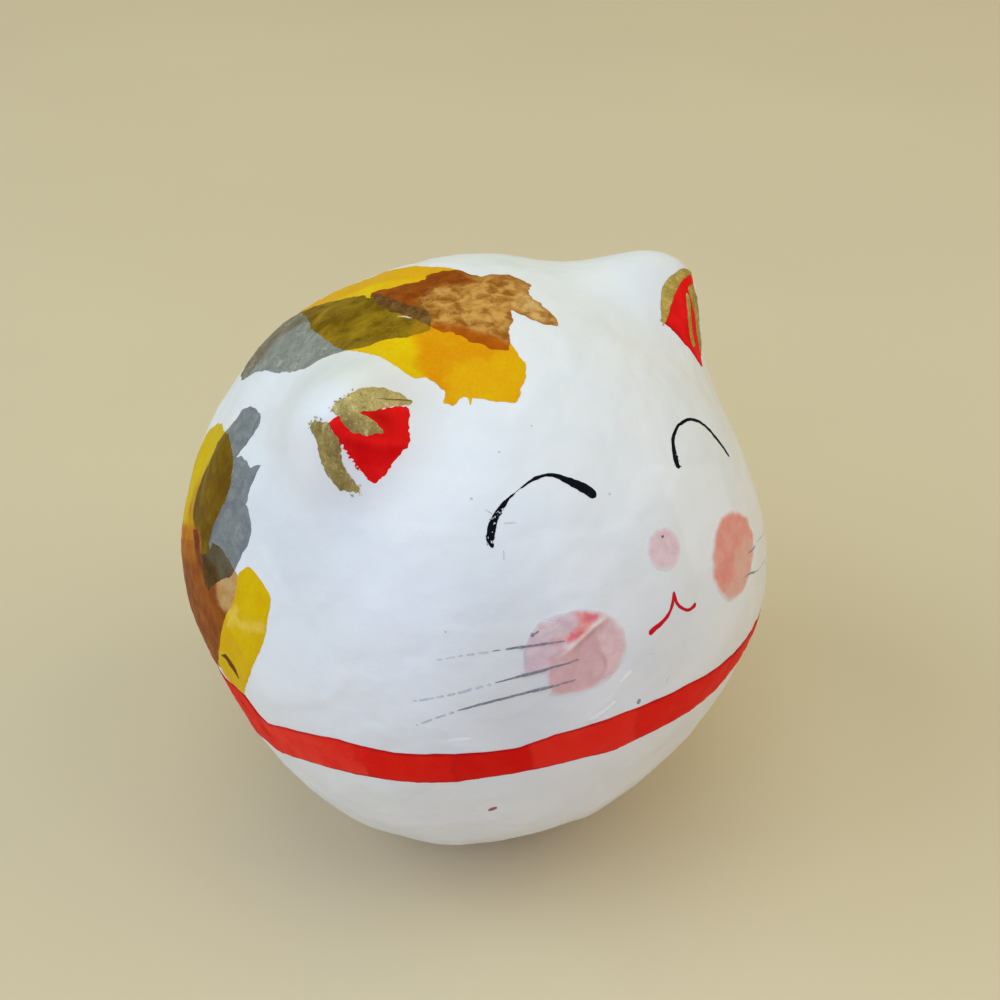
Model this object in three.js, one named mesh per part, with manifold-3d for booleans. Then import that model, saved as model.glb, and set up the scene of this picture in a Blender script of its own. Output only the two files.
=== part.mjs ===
// Papier-mache cat: a round, slightly lumpy paper ball with two pinched-up ears,
// banded by a paper strip, with torn tissue scraps, ear linings, cheek discs and
// a nose dot pasted on its skin.
// Millimetres, +Z up. The face looks along -Y, the cat's left is +X, and the
// ball stands on its flattened underside at z = 0.
// Places on the ball are given as degrees of longitude (0 at the face, positive
// towards the cat's left) and latitude, seen from the ball's centre.
import * as THREE from 'three';
import { mergeVertices } from 'three/addons/utils/BufferGeometryUtils.js';
import Module from 'manifold-3d';

// ---- driving sizes -------------------------------------------------------
const BALL_R = 50;            // radius of the ball before its lumps
const CENTRE_Z = 47.5;        // height of the ball's centre over the table
const BALL_DETAIL = 15;       // subdivisions of each edge of the ball's mesh

// low lumps and hollows of the laid-up paper: longitude, latitude, spread, height / BALL_R
const LUMPS = [
  [-103, -19, 21, -0.031],
  [12, -28, 23, -0.024],
  [52, 22, 16, -0.021],
  [-172, 62, 13, -0.012],
  [-62, -44, 18, 0.012],
];
const WAIST = { lat: -20, spread: 13, height: -0.013 };   // slight drawing-in below the collar

const EAR_HEIGHT = 0.196;     // height of an ear's peak / BALL_R
const EAR_SPREAD = { front: 10.7, back: 12.5, up: 12.0, down: 11.0 };   // degrees
const EARS = { right: { side: -1, lon: -68, lat: 49.5 }, left: { side: 1, lon: 74, lat: 52.5 } };

const PAPER_GAP = 0.3;        // clearance under a pasted paper
const PAPER_T = 0.2;          // thickness of a pasted paper
const COLLAR_T = 0.25;        // thickness of the collar strip

const COLLAR_TOP = -11.1;     // collar's edges, measured from the centre along its tilted axis
const COLLAR_BOTTOM = -17.2;
const COLLAR_LEAN_BACK = 12;  // degrees that the collar's axis leans to the back
const COLLAR_LEAN_LEFT = 2;   // and to the cat's left
const COLLAR_STEPS = 72;
const COLLAR_CLEAR = 0.6;     // free band between the flank scraps and the collar

const CHEEK_R = 7.3;
const CHEEKS = { right: [-20.5, 15.0], left: [20.5, 17.7] };
const NOSE_R = 2.9;
const NOSE = [0.2, 27.3];
const DISC_STEPS = 28;

// Scraps of tissue, as outlines in a flat chart of the skin (mm east and north of its centre).
const CROWN = {
  lon: -62, lat: 80,
  scraps: [
    // yellow sheet, from the back of the crown to the torn fringe in front
    [[-27, 5], [-21, 13], [-12, 17], [-4, 12], [-6, 3], [5, 0], [12, -6], [17, -10], [17, -14], [9, -18], [-1, -16.5], [-9, -13.5], [-20, -9]],
    // grey sheet
    [[-37, -11.5], [-38, -3], [-32, 5], [-27, 4.5], [-16, 2], [-9.5, 0.5], [-1.5, -3], [0.5, -7], [-6, -11.5], [-14, -16], [-25.5, -14.5]],
    // brown sheet with its ragged forward corner
    [[-15, 2], [-7.5, 7], [-7, 11.5], [0, 8.5], [3, 12.5], [9, 11.4], [16.4, 3.7], [8, 3.2], [12, -6], [3, -6], [-6, -3]],
  ],
};
const FLANK = {
  lon: -92, lat: 22,
  scraps: [
    // yellow sheet running round to the back
    [[-20, 12.5], [-9, 12.2], [-4, 9], [-3.6, -1], [-5, -5], [-9, -14], [-17, -13], [-25, -4], [-26, 6]],
    // upper grey sheet with its finger
    [[-13, 18], [-10.5, 19.6], [-6.5, 19.6], [-4.2, 17.5], [-5.6, 12.5], [1.4, 14], [1.9, 9], [-3, 6], [-5, -3], [-14, -1.5], [-15, 10]],
    // lower grey sheet
    [[-5, 4], [-1.2, 7.7], [3.5, 7], [5.6, 2], [3.8, -2.7], [-1.3, -8.6], [-4.6, -9.2], [-9, -4]],
    // brown sheet
    [[-11, -2.6], [-5, -8.5], [1.3, -5.2], [4.9, -3], [4.8, -7.6], [1.6, -16], [-1.7, -21], [-10, -20], [-19, -12], [-18, -4]],
    // lower yellow sheet ending in a point at the collar
    [[6.5, 0], [10, -0.4], [13.2, -2.5], [13, -9], [9.2, -17.5], [4.1, -26], [-1.5, -21.4], [-2, -14], [4.8, -6]],
  ],
};
// Ear linings, in degrees about each ear's peak (x towards the face, y up).
const LININGS = {
  right: [[0.6, -1.8], [2.2, 0.2], [5, 2], [8.3, 5], [10.2, 1], [9.6, -2.8], [8.4, -6.4], [7, -7.2], [3.5, -4.6]],
  left: [[3, -1.5], [6, 1.2], [9.2, 3], [13, 4], [14.8, 0], [15.8, -4], [15, -7.4], [11.3, -6.6], [8.3, -4.6]],
};

const COLOURS = {
  cat_body: [0xdfe4e4, 0.45], collar_strip: [0xc8281c, 0.5],
  crown_patch: [0xd29a08, 0.5], flank_patch: [0xa5761a, 0.5],
  ear_lining_right: [0xcb1018, 0.5], ear_lining_left: [0xcb1018, 0.5],
  cheek_right: [0xd9a5a5, 0.5], cheek_left: [0xdb9a86, 0.5], nose: [0xdcb4b4, 0.5],
};

// ---- the ball's skin as a function of direction --------------------------
const rad = THREE.MathUtils.degToRad;
const deg = THREE.MathUtils.radToDeg;
const V = (x, y, z) => new THREE.Vector3(x, y, z);
const unit = (lon, lat) => V(
  Math.sin(rad(lon)) * Math.cos(rad(lat)), -Math.cos(rad(lon)) * Math.cos(rad(lat)), Math.sin(rad(lat)));
const between = (a, b) => Math.acos(THREE.MathUtils.clamp(a.dot(b), -1, 1));

// A chart's own axes at a centre on the ball: out, across and up.
function chartAt(out, across) {
  const x = across.clone().addScaledVector(out, -across.dot(out)).normalize();
  const y = V(0, 0, 0).crossVectors(out, x);
  if (y.z < 0) y.negate();
  return { out, x, y };
}
const skinChart = (lon, lat) => chartAt(unit(lon, lat), unit(lon + 90, 0));
const earChart = ({ side, lon, lat }) => chartAt(unit(lon, lat), unit(lon - side * 90, 0));

// Chart distances, in radians along the skin, to a direction and back.
function fromChart(chart, x, y) {
  const a = Math.hypot(x, y);
  if (a < 1e-9) return chart.out.clone();
  return chart.out.clone().multiplyScalar(Math.cos(a))
    .addScaledVector(chart.x, Math.sin(a) * x / a).addScaledVector(chart.y, Math.sin(a) * y / a);
}
function toChart(chart, d) {
  const a = between(d, chart.out);
  const k = a / Math.max(Math.sin(a), 1e-9);
  return [k * d.dot(chart.x), k * d.dot(chart.y)];
}

const EAR_CHARTS = Object.values(EARS).map(earChart);
const LUMP_DIRS = LUMPS.map(([lon, lat]) => unit(lon, lat));

function skinRadius(d) {
  let r = 1;
  LUMPS.forEach(([, , spread, height], i) => {
    r += height * Math.exp(-((deg(between(d, LUMP_DIRS[i])) / spread) ** 2));
  });
  const lat = deg(Math.asin(THREE.MathUtils.clamp(d.z, -1, 1)));
  r += WAIST.height * Math.exp(-(((lat - WAIST.lat) / WAIST.spread) ** 2));
  for (const chart of EAR_CHARTS) {
    const [x, y] = toChart(chart, d).map(deg);
    const sx = x > 0 ? EAR_SPREAD.front : EAR_SPREAD.back;
    const sy = y > 0 ? EAR_SPREAD.up : EAR_SPREAD.down;
    r += EAR_HEIGHT * Math.exp(-((x / sx) ** 2 + (y / sy) ** 2));
  }
  return BALL_R * r;
}

// ---- solids --------------------------------------------------------------
const wasm = await Module();
wasm.setup();

function toSolid(geometry) {
  const g = geometry.clone();
  g.deleteAttribute('normal');
  g.deleteAttribute('uv');
  const m = mergeVertices(g, 1e-4);
  return new wasm.Manifold(new wasm.Mesh({
    numProp: 3,
    vertProperties: new Float32Array(m.attributes.position.array),
    triVerts: new Uint32Array(m.index.array),
  }));
}

function toGeometry(solid) {
  const m = solid.getMesh();
  const g = new THREE.BufferGeometry();
  g.setAttribute('position', new THREE.BufferAttribute(new Float32Array(m.vertProperties), 3));
  g.setIndex(Array.from(m.triVerts));
  g.computeVertexNormals();
  return g;
}

// The ball and its ears, grown outwards by an offset.
function ball(offset) {
  const g = new THREE.IcosahedronGeometry(1, BALL_DETAIL);
  const p = g.attributes.position;
  for (let i = 0; i < p.count; i++) {
    const d = V(p.getX(i), p.getY(i), p.getZ(i)).normalize();
    const r = skinRadius(d) + offset;
    p.setXYZ(i, d.x * r, d.y * r, CENTRE_Z + d.z * r);
  }
  return toSolid(g);
}

// A wedge from inside the ball to well outside it, through an outline of directions.
function wedge(chart, outline) {
  const NEAR = 0.55 * BALL_R, FAR = 1.9 * BALL_R;
  let dirs = outline.map(([x, y]) => fromChart(chart, x, y));
  const flat = (list) => list.map((d) => new THREE.Vector2(d.dot(chart.x), d.dot(chart.y)).divideScalar(d.dot(chart.out)));
  const turnsLeft = V(0, 0, 0).crossVectors(chart.x, chart.y).dot(chart.out) > 0;
  if ((THREE.ShapeUtils.area(flat(dirs)) > 0) !== turnsLeft) dirs = dirs.reverse();
  const contour = flat(dirs);
  const n = dirs.length;
  const points = [];
  for (const r of [NEAR, FAR]) for (const d of dirs) points.push(d.x * r, d.y * r, CENTRE_Z + d.z * r);
  // triangles of the cap, turned so that they face out of the ball
  const caps = THREE.ShapeUtils.triangulateShape(contour, []).map(([a, b, c]) => {
    const s = dirs[b].clone().sub(dirs[a]).cross(dirs[c].clone().sub(dirs[a])).dot(chart.out);
    return s > 0 ? [a, b, c] : [a, c, b];
  });
  const index = [];
  for (const [a, b, c] of caps) index.push(a, c, b, n + a, n + b, n + c);
  for (let i = 0; i < n; i++) {
    const j = (i + 1) % n;
    index.push(i, j, n + j, i, n + j, n + i);
  }
  return new wasm.Manifold(new wasm.Mesh({
    numProp: 3, vertProperties: new Float32Array(points), triVerts: new Uint32Array(index),
  }));
}

const BALL_IN = ball(PAPER_GAP);
const BALL_OUT = ball(PAPER_GAP + PAPER_T);
const paper = (shape) => BALL_OUT.intersect(shape).subtract(BALL_IN);

const radii = (outline, perUnit) => outline.map(([x, y]) => [x * perUnit, y * perUnit]);
function scrapCluster({ lon, lat, scraps }) {
  const chart = skinChart(lon, lat);
  return scraps.map((s) => wedge(chart, radii(s, 1 / BALL_R))).reduce((a, b) => a.add(b));
}
function disc([lon, lat], radius) {
  const a = radius / BALL_R;
  const outline = Array.from({ length: DISC_STEPS }, (_, i) => {
    const t = (2 * Math.PI * i) / DISC_STEPS;
    return [a * Math.cos(t), a * Math.sin(t)];
  });
  return wedge(skinChart(lon, lat), outline);
}

// body: the ball with its underside cut flat on the table
const under = new THREE.BoxGeometry(4 * BALL_R, 4 * BALL_R, 2 * BALL_R).translate(0, 0, -BALL_R);
const body = ball(0).subtract(toSolid(under));

// collar: a band on the skin between two planes square to its leaning axis
const collarAxis = V(Math.sin(rad(COLLAR_LEAN_LEFT)), Math.sin(rad(COLLAR_LEAN_BACK)), 0);
collarAxis.z = Math.sqrt(1 - collarAxis.x ** 2 - collarAxis.y ** 2);
const collarX = V(1, 0, 0).addScaledVector(collarAxis, -collarAxis.x).normalize();
const collarY = V(0, 0, 0).crossVectors(collarAxis, collarX);

function collarPoint(turn, height, offset) {
  let tilt = Math.asin(height / BALL_R);
  let d;
  for (let i = 0; i < 8; i++) {
    d = collarX.clone().multiplyScalar(Math.cos(turn) * Math.cos(tilt))
      .addScaledVector(collarY, Math.sin(turn) * Math.cos(tilt)).addScaledVector(collarAxis, Math.sin(tilt));
    tilt = Math.asin(height / skinRadius(d));
  }
  const r = skinRadius(d) + offset;
  return V(d.x * r, d.y * r, CENTRE_Z + d.z * r);
}

function collarGeometry() {
  const middle = (COLLAR_TOP + COLLAR_BOTTOM) / 2;
  const inner = PAPER_GAP, outer = PAPER_GAP + COLLAR_T;
  const section = [
    [COLLAR_BOTTOM, inner], [COLLAR_BOTTOM, outer], [middle, outer],
    [COLLAR_TOP, outer], [COLLAR_TOP, inner], [middle, inner],
  ];
  const k = section.length;
  const points = [], index = [];
  for (let i = 0; i < COLLAR_STEPS; i++) {
    const turn = (2 * Math.PI * i) / COLLAR_STEPS;
    for (const [h, o] of section) points.push(...collarPoint(turn, h, o).toArray());
  }
  for (let i = 0; i < COLLAR_STEPS; i++) {
    for (let j = 0; j < k; j++) {
      const a = i * k + j, b = i * k + ((j + 1) % k);
      const c = ((i + 1) % COLLAR_STEPS) * k + j, d = ((i + 1) % COLLAR_STEPS) * k + ((j + 1) % k);
      index.push(a, c, b, b, c, d);
    }
  }
  const g = new THREE.BufferGeometry();
  g.setAttribute('position', new THREE.BufferAttribute(new Float32Array(points), 3));
  g.setIndex(index);
  g.computeVertexNormals();
  return g;
}

// everything lower than the collar's free band, to trim the flank scraps with
const belowCollar = new THREE.BoxGeometry(4 * BALL_R, 4 * BALL_R, 4 * BALL_R)
  .translate(0, 0, COLLAR_TOP + COLLAR_CLEAR - 2 * BALL_R)
  .applyQuaternion(new THREE.Quaternion().setFromUnitVectors(V(0, 0, 1), collarAxis))
  .translate(0, 0, CENTRE_Z);

const shapes = {
  cat_body: toGeometry(body),
  collar_strip: collarGeometry(),
  crown_patch: toGeometry(paper(scrapCluster(CROWN))),
  flank_patch: toGeometry(paper(scrapCluster(FLANK)).subtract(toSolid(belowCollar))),
  ear_lining_right: toGeometry(paper(wedge(earChart(EARS.right), radii(LININGS.right, rad(1))))),
  ear_lining_left: toGeometry(paper(wedge(earChart(EARS.left), radii(LININGS.left, rad(1))))),
  cheek_right: toGeometry(paper(disc(CHEEKS.right, CHEEK_R))),
  cheek_left: toGeometry(paper(disc(CHEEKS.left, CHEEK_R))),
  nose: toGeometry(paper(disc(NOSE, NOSE_R))),
};

const cat = new THREE.Group();
for (const [name, geometry] of Object.entries(shapes)) {
  const [color, roughness] = COLOURS[name];
  const mesh = new THREE.Mesh(geometry, new THREE.MeshStandardMaterial({ color, roughness, metalness: 0 }));
  mesh.name = name;
  cat.add(mesh);
}

export default cat;
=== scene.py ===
import math

import bmesh
import bpy
import numpy as np
from mathutils import Matrix, Vector
from mathutils.geometry import delaunay_2d_cdt


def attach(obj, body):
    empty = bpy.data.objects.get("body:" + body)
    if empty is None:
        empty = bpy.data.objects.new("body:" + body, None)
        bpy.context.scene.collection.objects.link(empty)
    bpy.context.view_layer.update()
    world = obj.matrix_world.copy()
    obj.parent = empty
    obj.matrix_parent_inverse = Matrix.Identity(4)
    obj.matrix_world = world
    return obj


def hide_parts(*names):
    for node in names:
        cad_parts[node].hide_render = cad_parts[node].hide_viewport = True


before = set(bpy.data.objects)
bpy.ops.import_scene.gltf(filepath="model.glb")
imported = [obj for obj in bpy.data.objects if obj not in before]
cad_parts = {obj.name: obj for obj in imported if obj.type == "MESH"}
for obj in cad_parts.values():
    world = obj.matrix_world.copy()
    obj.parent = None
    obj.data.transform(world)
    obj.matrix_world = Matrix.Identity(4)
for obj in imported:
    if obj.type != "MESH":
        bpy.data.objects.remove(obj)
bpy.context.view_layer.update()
MM = 0.001

# ---------------------------------------------------------------------------
# The cat's skin: radius of the ball in each direction from its centre, in mm.
# Longitude 0 is the face (-Y), positive towards the cat's left (+X).
# ---------------------------------------------------------------------------
R, ZC = 50.0, 47.5
LUMPS = [(-103, -19, 21, -0.031), (12, -28, 23, -0.024), (52, 22, 16, -0.021), (-172, 62, 13, -0.012), (-62, -44, 18, 0.012),
         (-121.4, 26.5, 10, -0.030), (57.8, 31.5, 13, -0.016), (-36.7, 29.4, 22, 0.016)]
WAIST = (-20.0, 13.0, -0.013)
EAR_H = 0.196
EAR_BACK, EAR_UP = 12.5, 12.0
EAR_FRONT, EAR_DOWN = (8.0, 10.7), (8.8, 11.0)  # right ear, left ear
EARS = {"right": (-1, -68.0, 49.5), "left": (1, 74.0, 52.5)}


def unit(lon, lat):
    lon, lat = np.radians(np.asarray(lon, float)), np.radians(np.asarray(lat, float))
    return np.stack([np.sin(lon) * np.cos(lat), -np.cos(lon) * np.cos(lat), np.sin(lat)], -1)


def chart_at(out, across):
    x = across - (across @ out) * out
    x /= np.linalg.norm(x)
    y = np.cross(out, x)
    return out, x, (-y if y[2] < 0 else y)


def skin_chart(lon, lat):
    return chart_at(unit(lon, lat), unit(lon + 90, 0))


def ear_chart(which):
    side, lon, lat = EARS[which]
    return chart_at(unit(lon, lat), unit(lon - side * 90, 0))


def from_chart(chart, xy):
    """Directions of chart points, given in mm along a ball of radius R."""
    xy = np.asarray(xy, float) / R
    a = np.hypot(xy[:, 0], xy[:, 1])
    k = np.where(a > 1e-9, np.sin(a) / np.maximum(a, 1e-9), 1.0)
    out, x, y = chart
    return np.cos(a)[:, None] * out + (k * xy[:, 0])[:, None] * x + (k * xy[:, 1])[:, None] * y


def to_chart(chart, d):
    out, x, y = chart
    a = np.arccos(np.clip(d @ out, -1, 1))
    k = a / np.maximum(np.sin(a), 1e-9)
    return np.stack([k * (d @ x), k * (d @ y)], -1) * R


EAR_CHARTS = [ear_chart("right"), ear_chart("left")]


def skin_radius(d):
    r = np.ones(len(d))
    for lon, lat, spread, height in LUMPS:
        r += height * np.exp(-((np.degrees(np.arccos(np.clip(d @ unit(lon, lat), -1, 1))) / spread) ** 2))
    lat = np.degrees(np.arcsin(np.clip(d[:, 2], -1, 1)))
    r += WAIST[2] * np.exp(-(((lat - WAIST[0]) / WAIST[1]) ** 2))
    for chart, ahead, below in zip(EAR_CHARTS, EAR_FRONT, EAR_DOWN):
        x, y = np.degrees(to_chart(chart, d) / R).T
        sx = np.where(x > 0, ahead, EAR_BACK)
        sy = np.where(y > 0, EAR_UP, below)
        r += EAR_H * np.exp(-((x / sx) ** 2 + (y / sy) ** 2))
    return R * r


# ---------------------------------------------------------------------------
# Noise
# ---------------------------------------------------------------------------
def _lattice(i, j, k, seed):
    n = (i * np.uint64(73856093)) ^ (j * np.uint64(19349663)) ^ (k * np.uint64(83492791)) ^ np.uint64((seed * 2654435761 + 97) % (1 << 32))
    m = np.uint64(0xFFFFFFFF)
    n &= m
    n = ((n ^ (n >> np.uint64(15))) * np.uint64(2246822519)) & m
    n = ((n ^ (n >> np.uint64(13))) * np.uint64(3266489917)) & m
    return ((n ^ (n >> np.uint64(16))) & m).astype(float) / 2147483647.5 - 1.0


def noise(p, seed=0):
    """Smooth noise between -1 and 1 at points (n, 3)."""
    p = np.asarray(p, float) + 1000.0
    f = np.floor(p)
    i, j, k = (f[:, a].astype(np.uint64) for a in range(3))
    t = p - f
    t = t * t * t * (t * (t * 6 - 15) + 10)
    one = np.uint64(1)
    total = 0.0
    for a in (0, 1):
        for b in (0, 1):
            for c in (0, 1):
                w = (t[:, 0] if a else 1 - t[:, 0]) * (t[:, 1] if b else 1 - t[:, 1]) * (t[:, 2] if c else 1 - t[:, 2])
                total = total + w * _lattice(i + one * np.uint64(a), j + one * np.uint64(b), k + one * np.uint64(c), seed)
    return total


def noise2(xy, size, seed=0):
    xy = np.asarray(xy, float) / size
    return noise(np.c_[xy, np.full(len(xy), 0.37 + seed * 3.1)], seed)


def smoothstep(a, b, x):
    t = np.clip((x - a) / (b - a), 0, 1)
    return t * t * (3 - 2 * t)


# ---------------------------------------------------------------------------
# Relief of the laid-up paper: flattened plates, overlapping torn scraps, creases.
# ---------------------------------------------------------------------------
rng = np.random.RandomState(41)


def spread_dirs(n, jitter):
    i = np.arange(n) + 0.5
    lat = np.degrees(np.arcsin(1 - 2 * i / n))
    lon = (i * 180.0 * (3.0 - math.sqrt(5.0))) % 360.0
    d = unit(lon, lat) + rng.normal(0, jitter, (n, 3))
    return d / np.linalg.norm(d, axis=1)[:, None]


PLATES = spread_dirs(230, 0.045)
SCRAPS = []
for c in spread_dirs(150, 0.12):
    corners = rng.randint(5, 8)
    turn = np.sort(rng.uniform(0, 2 * math.pi, corners)) * 0.45 + np.arange(corners) * 2 * math.pi / corners * 0.55
    SCRAPS.append({
        "chart": chart_at(c, np.array([0.3, 0.5, 0.81]) if abs(c[2]) < 0.8 else np.array([1.0, 0.2, 0.0])),
        "normals": np.stack([np.cos(turn), np.sin(turn)], -1),
        "reach": rng.uniform(6.0, 11.5, corners),
        "thick": rng.uniform(0.045, 0.105),
        "tone": rng.normal(0, 1),
        "seed": int(rng.randint(1 << 16)),
    })

# where the white is made darker (below 0) or lighter: partly thinner, greyer paint on the face, partly painted light
# and painted shade round the ears, the gold stem and the right flank: longitude, latitude, reach in degrees, amount
PAINT_CLOUDS_AND_SHADING = [(-72.0, 29.5, 10, -0.10), (-34.0, 25.0, 9, -0.07), (-34.5, 12.0, 8, -0.07), (-25.0, 9.5, 6, -0.08), (-30.5, 1.5, 8, -0.07), (-48.0, 46.0, 9, 0.07), (-58.0, 42.0, 5, 0.06),
         (-86.0, 31.0, 5, -0.08), (-74.5, 44.5, 4, 0.08), (-54.0, 8.5, 7, 0.04), (-4.0, 9.0, 7, -0.05), (66.0, 58.5, 7, -0.07)]

# creases: points in longitude and latitude, half width and height in mm
CREASES = [
    ([(-20.5, 0.2), (-18.4, 1.8), (-14.6, 3.9), (-10.4, 8.8)], 0.42, 0.22),
    ([(-15.6, 6.6), (-12.6, 8.4), (-10.0, 11.0)], 0.40, 0.07),
    ([(-45.0, -0.8), (-40.0, -1.3), (-35.0, -1.6)], 0.35, 0.10),
    ([(-26.5, 24.5), (-21.0, 25.6), (-15.0, 24.2)], 0.60, 0.06),
    ([(-66.0, 21.0), (-64.2, 22.4)], 0.70, 0.16),
    ([(-58.0, 24.5), (-54.5, 25.6)], 0.60, 0.08),
]
for _ in range(60):
    lon, lat = rng.uniform(-180, 180), math.degrees(math.asin(rng.uniform(-0.8, 0.9)))
    turn, size = rng.uniform(0, 2 * math.pi), rng.uniform(2.5, 6.5)
    bow = rng.uniform(-1.2, 1.2)
    CREASES.append((
        [(lon + s * size * math.cos(turn) / max(0.35, math.cos(math.radians(lat))) - bow * (1 - s * s) * math.sin(turn),
          lat + s * size * math.sin(turn) + bow * (1 - s * s) * math.cos(turn)) for s in (-1, -0.5, 0, 0.5, 1)],
        rng.uniform(0.45, 0.7), rng.uniform(-0.05, 0.06)))


def to_line(p, line):
    """Distance of points (n, 2) from a polyline, and how far along it (0 to 1) the nearest place is."""
    best, where = np.full(len(p), 1e9), np.zeros(len(p))
    total = max(len(line) - 1, 1)
    for n, (a, b) in enumerate(zip(line[:-1], line[1:])):
        ab = b - a
        t = np.clip(((p - a) @ ab) / max(ab @ ab, 1e-12), 0, 1)
        away = np.linalg.norm(p - a - t[:, None] * ab, axis=1)
        near = away < best
        best[near], where[near] = away[near], (n + t[near]) / total
    return best, where


def relief(d, tones=None):
    """Fine height of the paper, in mm. tones, if given, is filled with each place's tint from the scrap on top there."""
    h = np.zeros(len(d))
    # plates: scraps that dried a little flat
    for s in range(0, len(d), 20000):
        c = np.maximum(d[s:s + 20000] @ PLATES.T, 0.6)
        far = R / c - R
        soft = -np.log(np.exp(-10.0 * far).sum(1)) / 10.0
        low = smoothstep(0.05, -0.55, d[s:s + 20000, 2])
        h[s:s + 20000] += (0.26 + 0.30 * low) * (soft - 0.16)
    h += 0.15 * noise(d * 4.5, 3) + 0.075 * noise(d * 11.0, 5) + 0.052 * noise(d * 22.0, 7) + 0.022 * noise(d * 45.0, 9)
    for n, s in enumerate(SCRAPS):
        near = np.nonzero(d @ s["chart"][0] > 0.93)[0]
        if not len(near):
            continue
        p = to_chart(s["chart"], d[near])
        away = (p @ s["normals"].T - s["reach"]).max(1) + 0.45 * noise2(p, 1.7, s["seed"] % 61) + 0.9 * noise2(p, 5.5, s["seed"] % 53)
        inside = smoothstep(0.45, -0.45, away)
        h[near] += s["thick"] * (inside - 0.35)
        if tones is not None:
            tones[near] += 0.65 * inside * (s["tone"] - tones[near])
    for line, width, height in CREASES:
        lonlat = np.array(line)
        chart = skin_chart(*lonlat.mean(0))
        pts = to_chart(chart, unit(lonlat[:, 0], lonlat[:, 1]))
        reach = math.cos(min((np.abs(pts).max() + 4.0) / R * 1.5, 1.2))
        near = np.nonzero(d @ chart[0] > reach)[0]
        if len(near):
            away, where = to_line(to_chart(chart, d[near]), pts)
            h[near] += height * np.exp(-((away / width) ** 2)) * np.sqrt(np.clip(4 * where * (1 - where), 0, 1) + 0.05)
    return h


def skin(d):
    return skin_radius(d) + relief(d)


def place(d, r):
    return (d * r[:, None] + np.array([0, 0, ZC])) * MM


# ---------------------------------------------------------------------------
# Materials
# ---------------------------------------------------------------------------
def linear(c):
    c = np.asarray(c, float) / 255.0
    return np.where(c <= 0.04045, c / 12.92, ((c + 0.055) / 1.055) ** 2.4)


WHITE_ALBEDO = 0.86


def tint(r, g, b, beside=(214, 221, 226)):
    """Colour of a paper or paint that looks like r, g, b (0 to 255) beside white paper that looks like beside."""
    c = np.clip(linear((r, g, b)) / linear(beside) * WHITE_ALBEDO, 0.002, 0.9)
    return (float(c[0]), float(c[1]), float(c[2]), 1.0)


class Nodes:
    def __init__(self, name):
        self.material = bpy.data.materials.new(name)
        self.material.use_nodes = True
        self.tree = self.material.node_tree
        self.tree.nodes.clear()
        self.out = self.add("ShaderNodeOutputMaterial")
        self.shader = self.add("ShaderNodeBsdfPrincipled")
        self.link(self.shader.outputs["BSDF"], self.out.inputs["Surface"])
        self.coords = self.add("ShaderNodeTexCoord").outputs["Object"]

    def add(self, kind, **values):
        n = self.tree.nodes.new(kind)
        for k, v in values.items():
            setattr(n, k, v)
        return n

    def link(self, a, b):
        self.tree.links.new(a, b)

    def noise(self, size_mm, detail=3.0, rough=0.55, distort=0.0, stretch=None, coords=None):
        """Noise whose features are about size_mm across."""
        n = self.add("ShaderNodeTexNoise")
        n.inputs["Scale"].default_value = 1000.0 / size_mm
        n.inputs["Detail"].default_value = detail
        n.inputs["Roughness"].default_value = rough
        n.inputs["Distortion"].default_value = distort
        at = coords or self.coords
        if stretch:
            m = self.add("ShaderNodeMapping")
            m.inputs["Scale"].default_value = stretch
            self.link(at, m.inputs["Vector"])
            at = m.outputs["Vector"]
        self.link(at, n.inputs["Vector"])
        return n.outputs["Fac"]

    def ramp(self, value, stops):
        n = self.add("ShaderNodeValToRGB")
        while len(n.color_ramp.elements) < len(stops):
            n.color_ramp.elements.new(0.5)
        for e, (at, c) in zip(n.color_ramp.elements, stops):
            e.position = at
            e.color = c if len(c) == 4 else (*c, 1.0)
        self.link(value, n.inputs["Fac"])
        return n.outputs["Color"]

    def span(self, value, a, b, lo=0.0, hi=1.0):
        n = self.add("ShaderNodeMapRange")
        for key, v in (("From Min", a), ("From Max", b), ("To Min", lo), ("To Max", hi)):
            n.inputs[key].default_value = v
        self.link(value, n.inputs["Value"])
        return n.outputs["Result"]

    def math(self, how, a, b):
        n = self.add("ShaderNodeMath", operation=how)
        for socket, v in zip(n.inputs, (a, b)):
            if isinstance(v, (int, float)):
                socket.default_value = v
            else:
                self.link(v, socket)
        return n.outputs["Value"]

    def mix(self, fac, a, b, how="MIX"):
        n = self.add("ShaderNodeMix", data_type="RGBA", blend_type=how)
        for socket, v in ((n.inputs[0], fac), (n.inputs[6], a), (n.inputs[7], b)):
            if isinstance(v, (int, float)):
                socket.default_value = v
            elif isinstance(v, (tuple, list)):
                socket.default_value = v if len(v) == 4 else (*v, 1.0)
            else:
                self.link(v, socket)
        return n.outputs[2]

    def bump(self, height, strength, depth_mm):
        n = self.add("ShaderNodeBump")
        n.inputs["Strength"].default_value = strength
        n.inputs["Distance"].default_value = depth_mm * MM
        self.link(height, n.inputs["Height"])
        self.link(n.outputs["Normal"], self.shader.inputs["Normal"])

    def set(self, **values):
        for k, v in values.items():
            socket = self.shader.inputs[k.replace("_", " ")]
            if isinstance(v, (int, float, tuple)):
                socket.default_value = v
            else:
                self.link(v, socket)
        return self.material


def times(c, k):
    return (min(c[0] * k, 0.92), min(c[1] * k, 0.92), min(c[2] * k, 0.92), 1.0)


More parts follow.
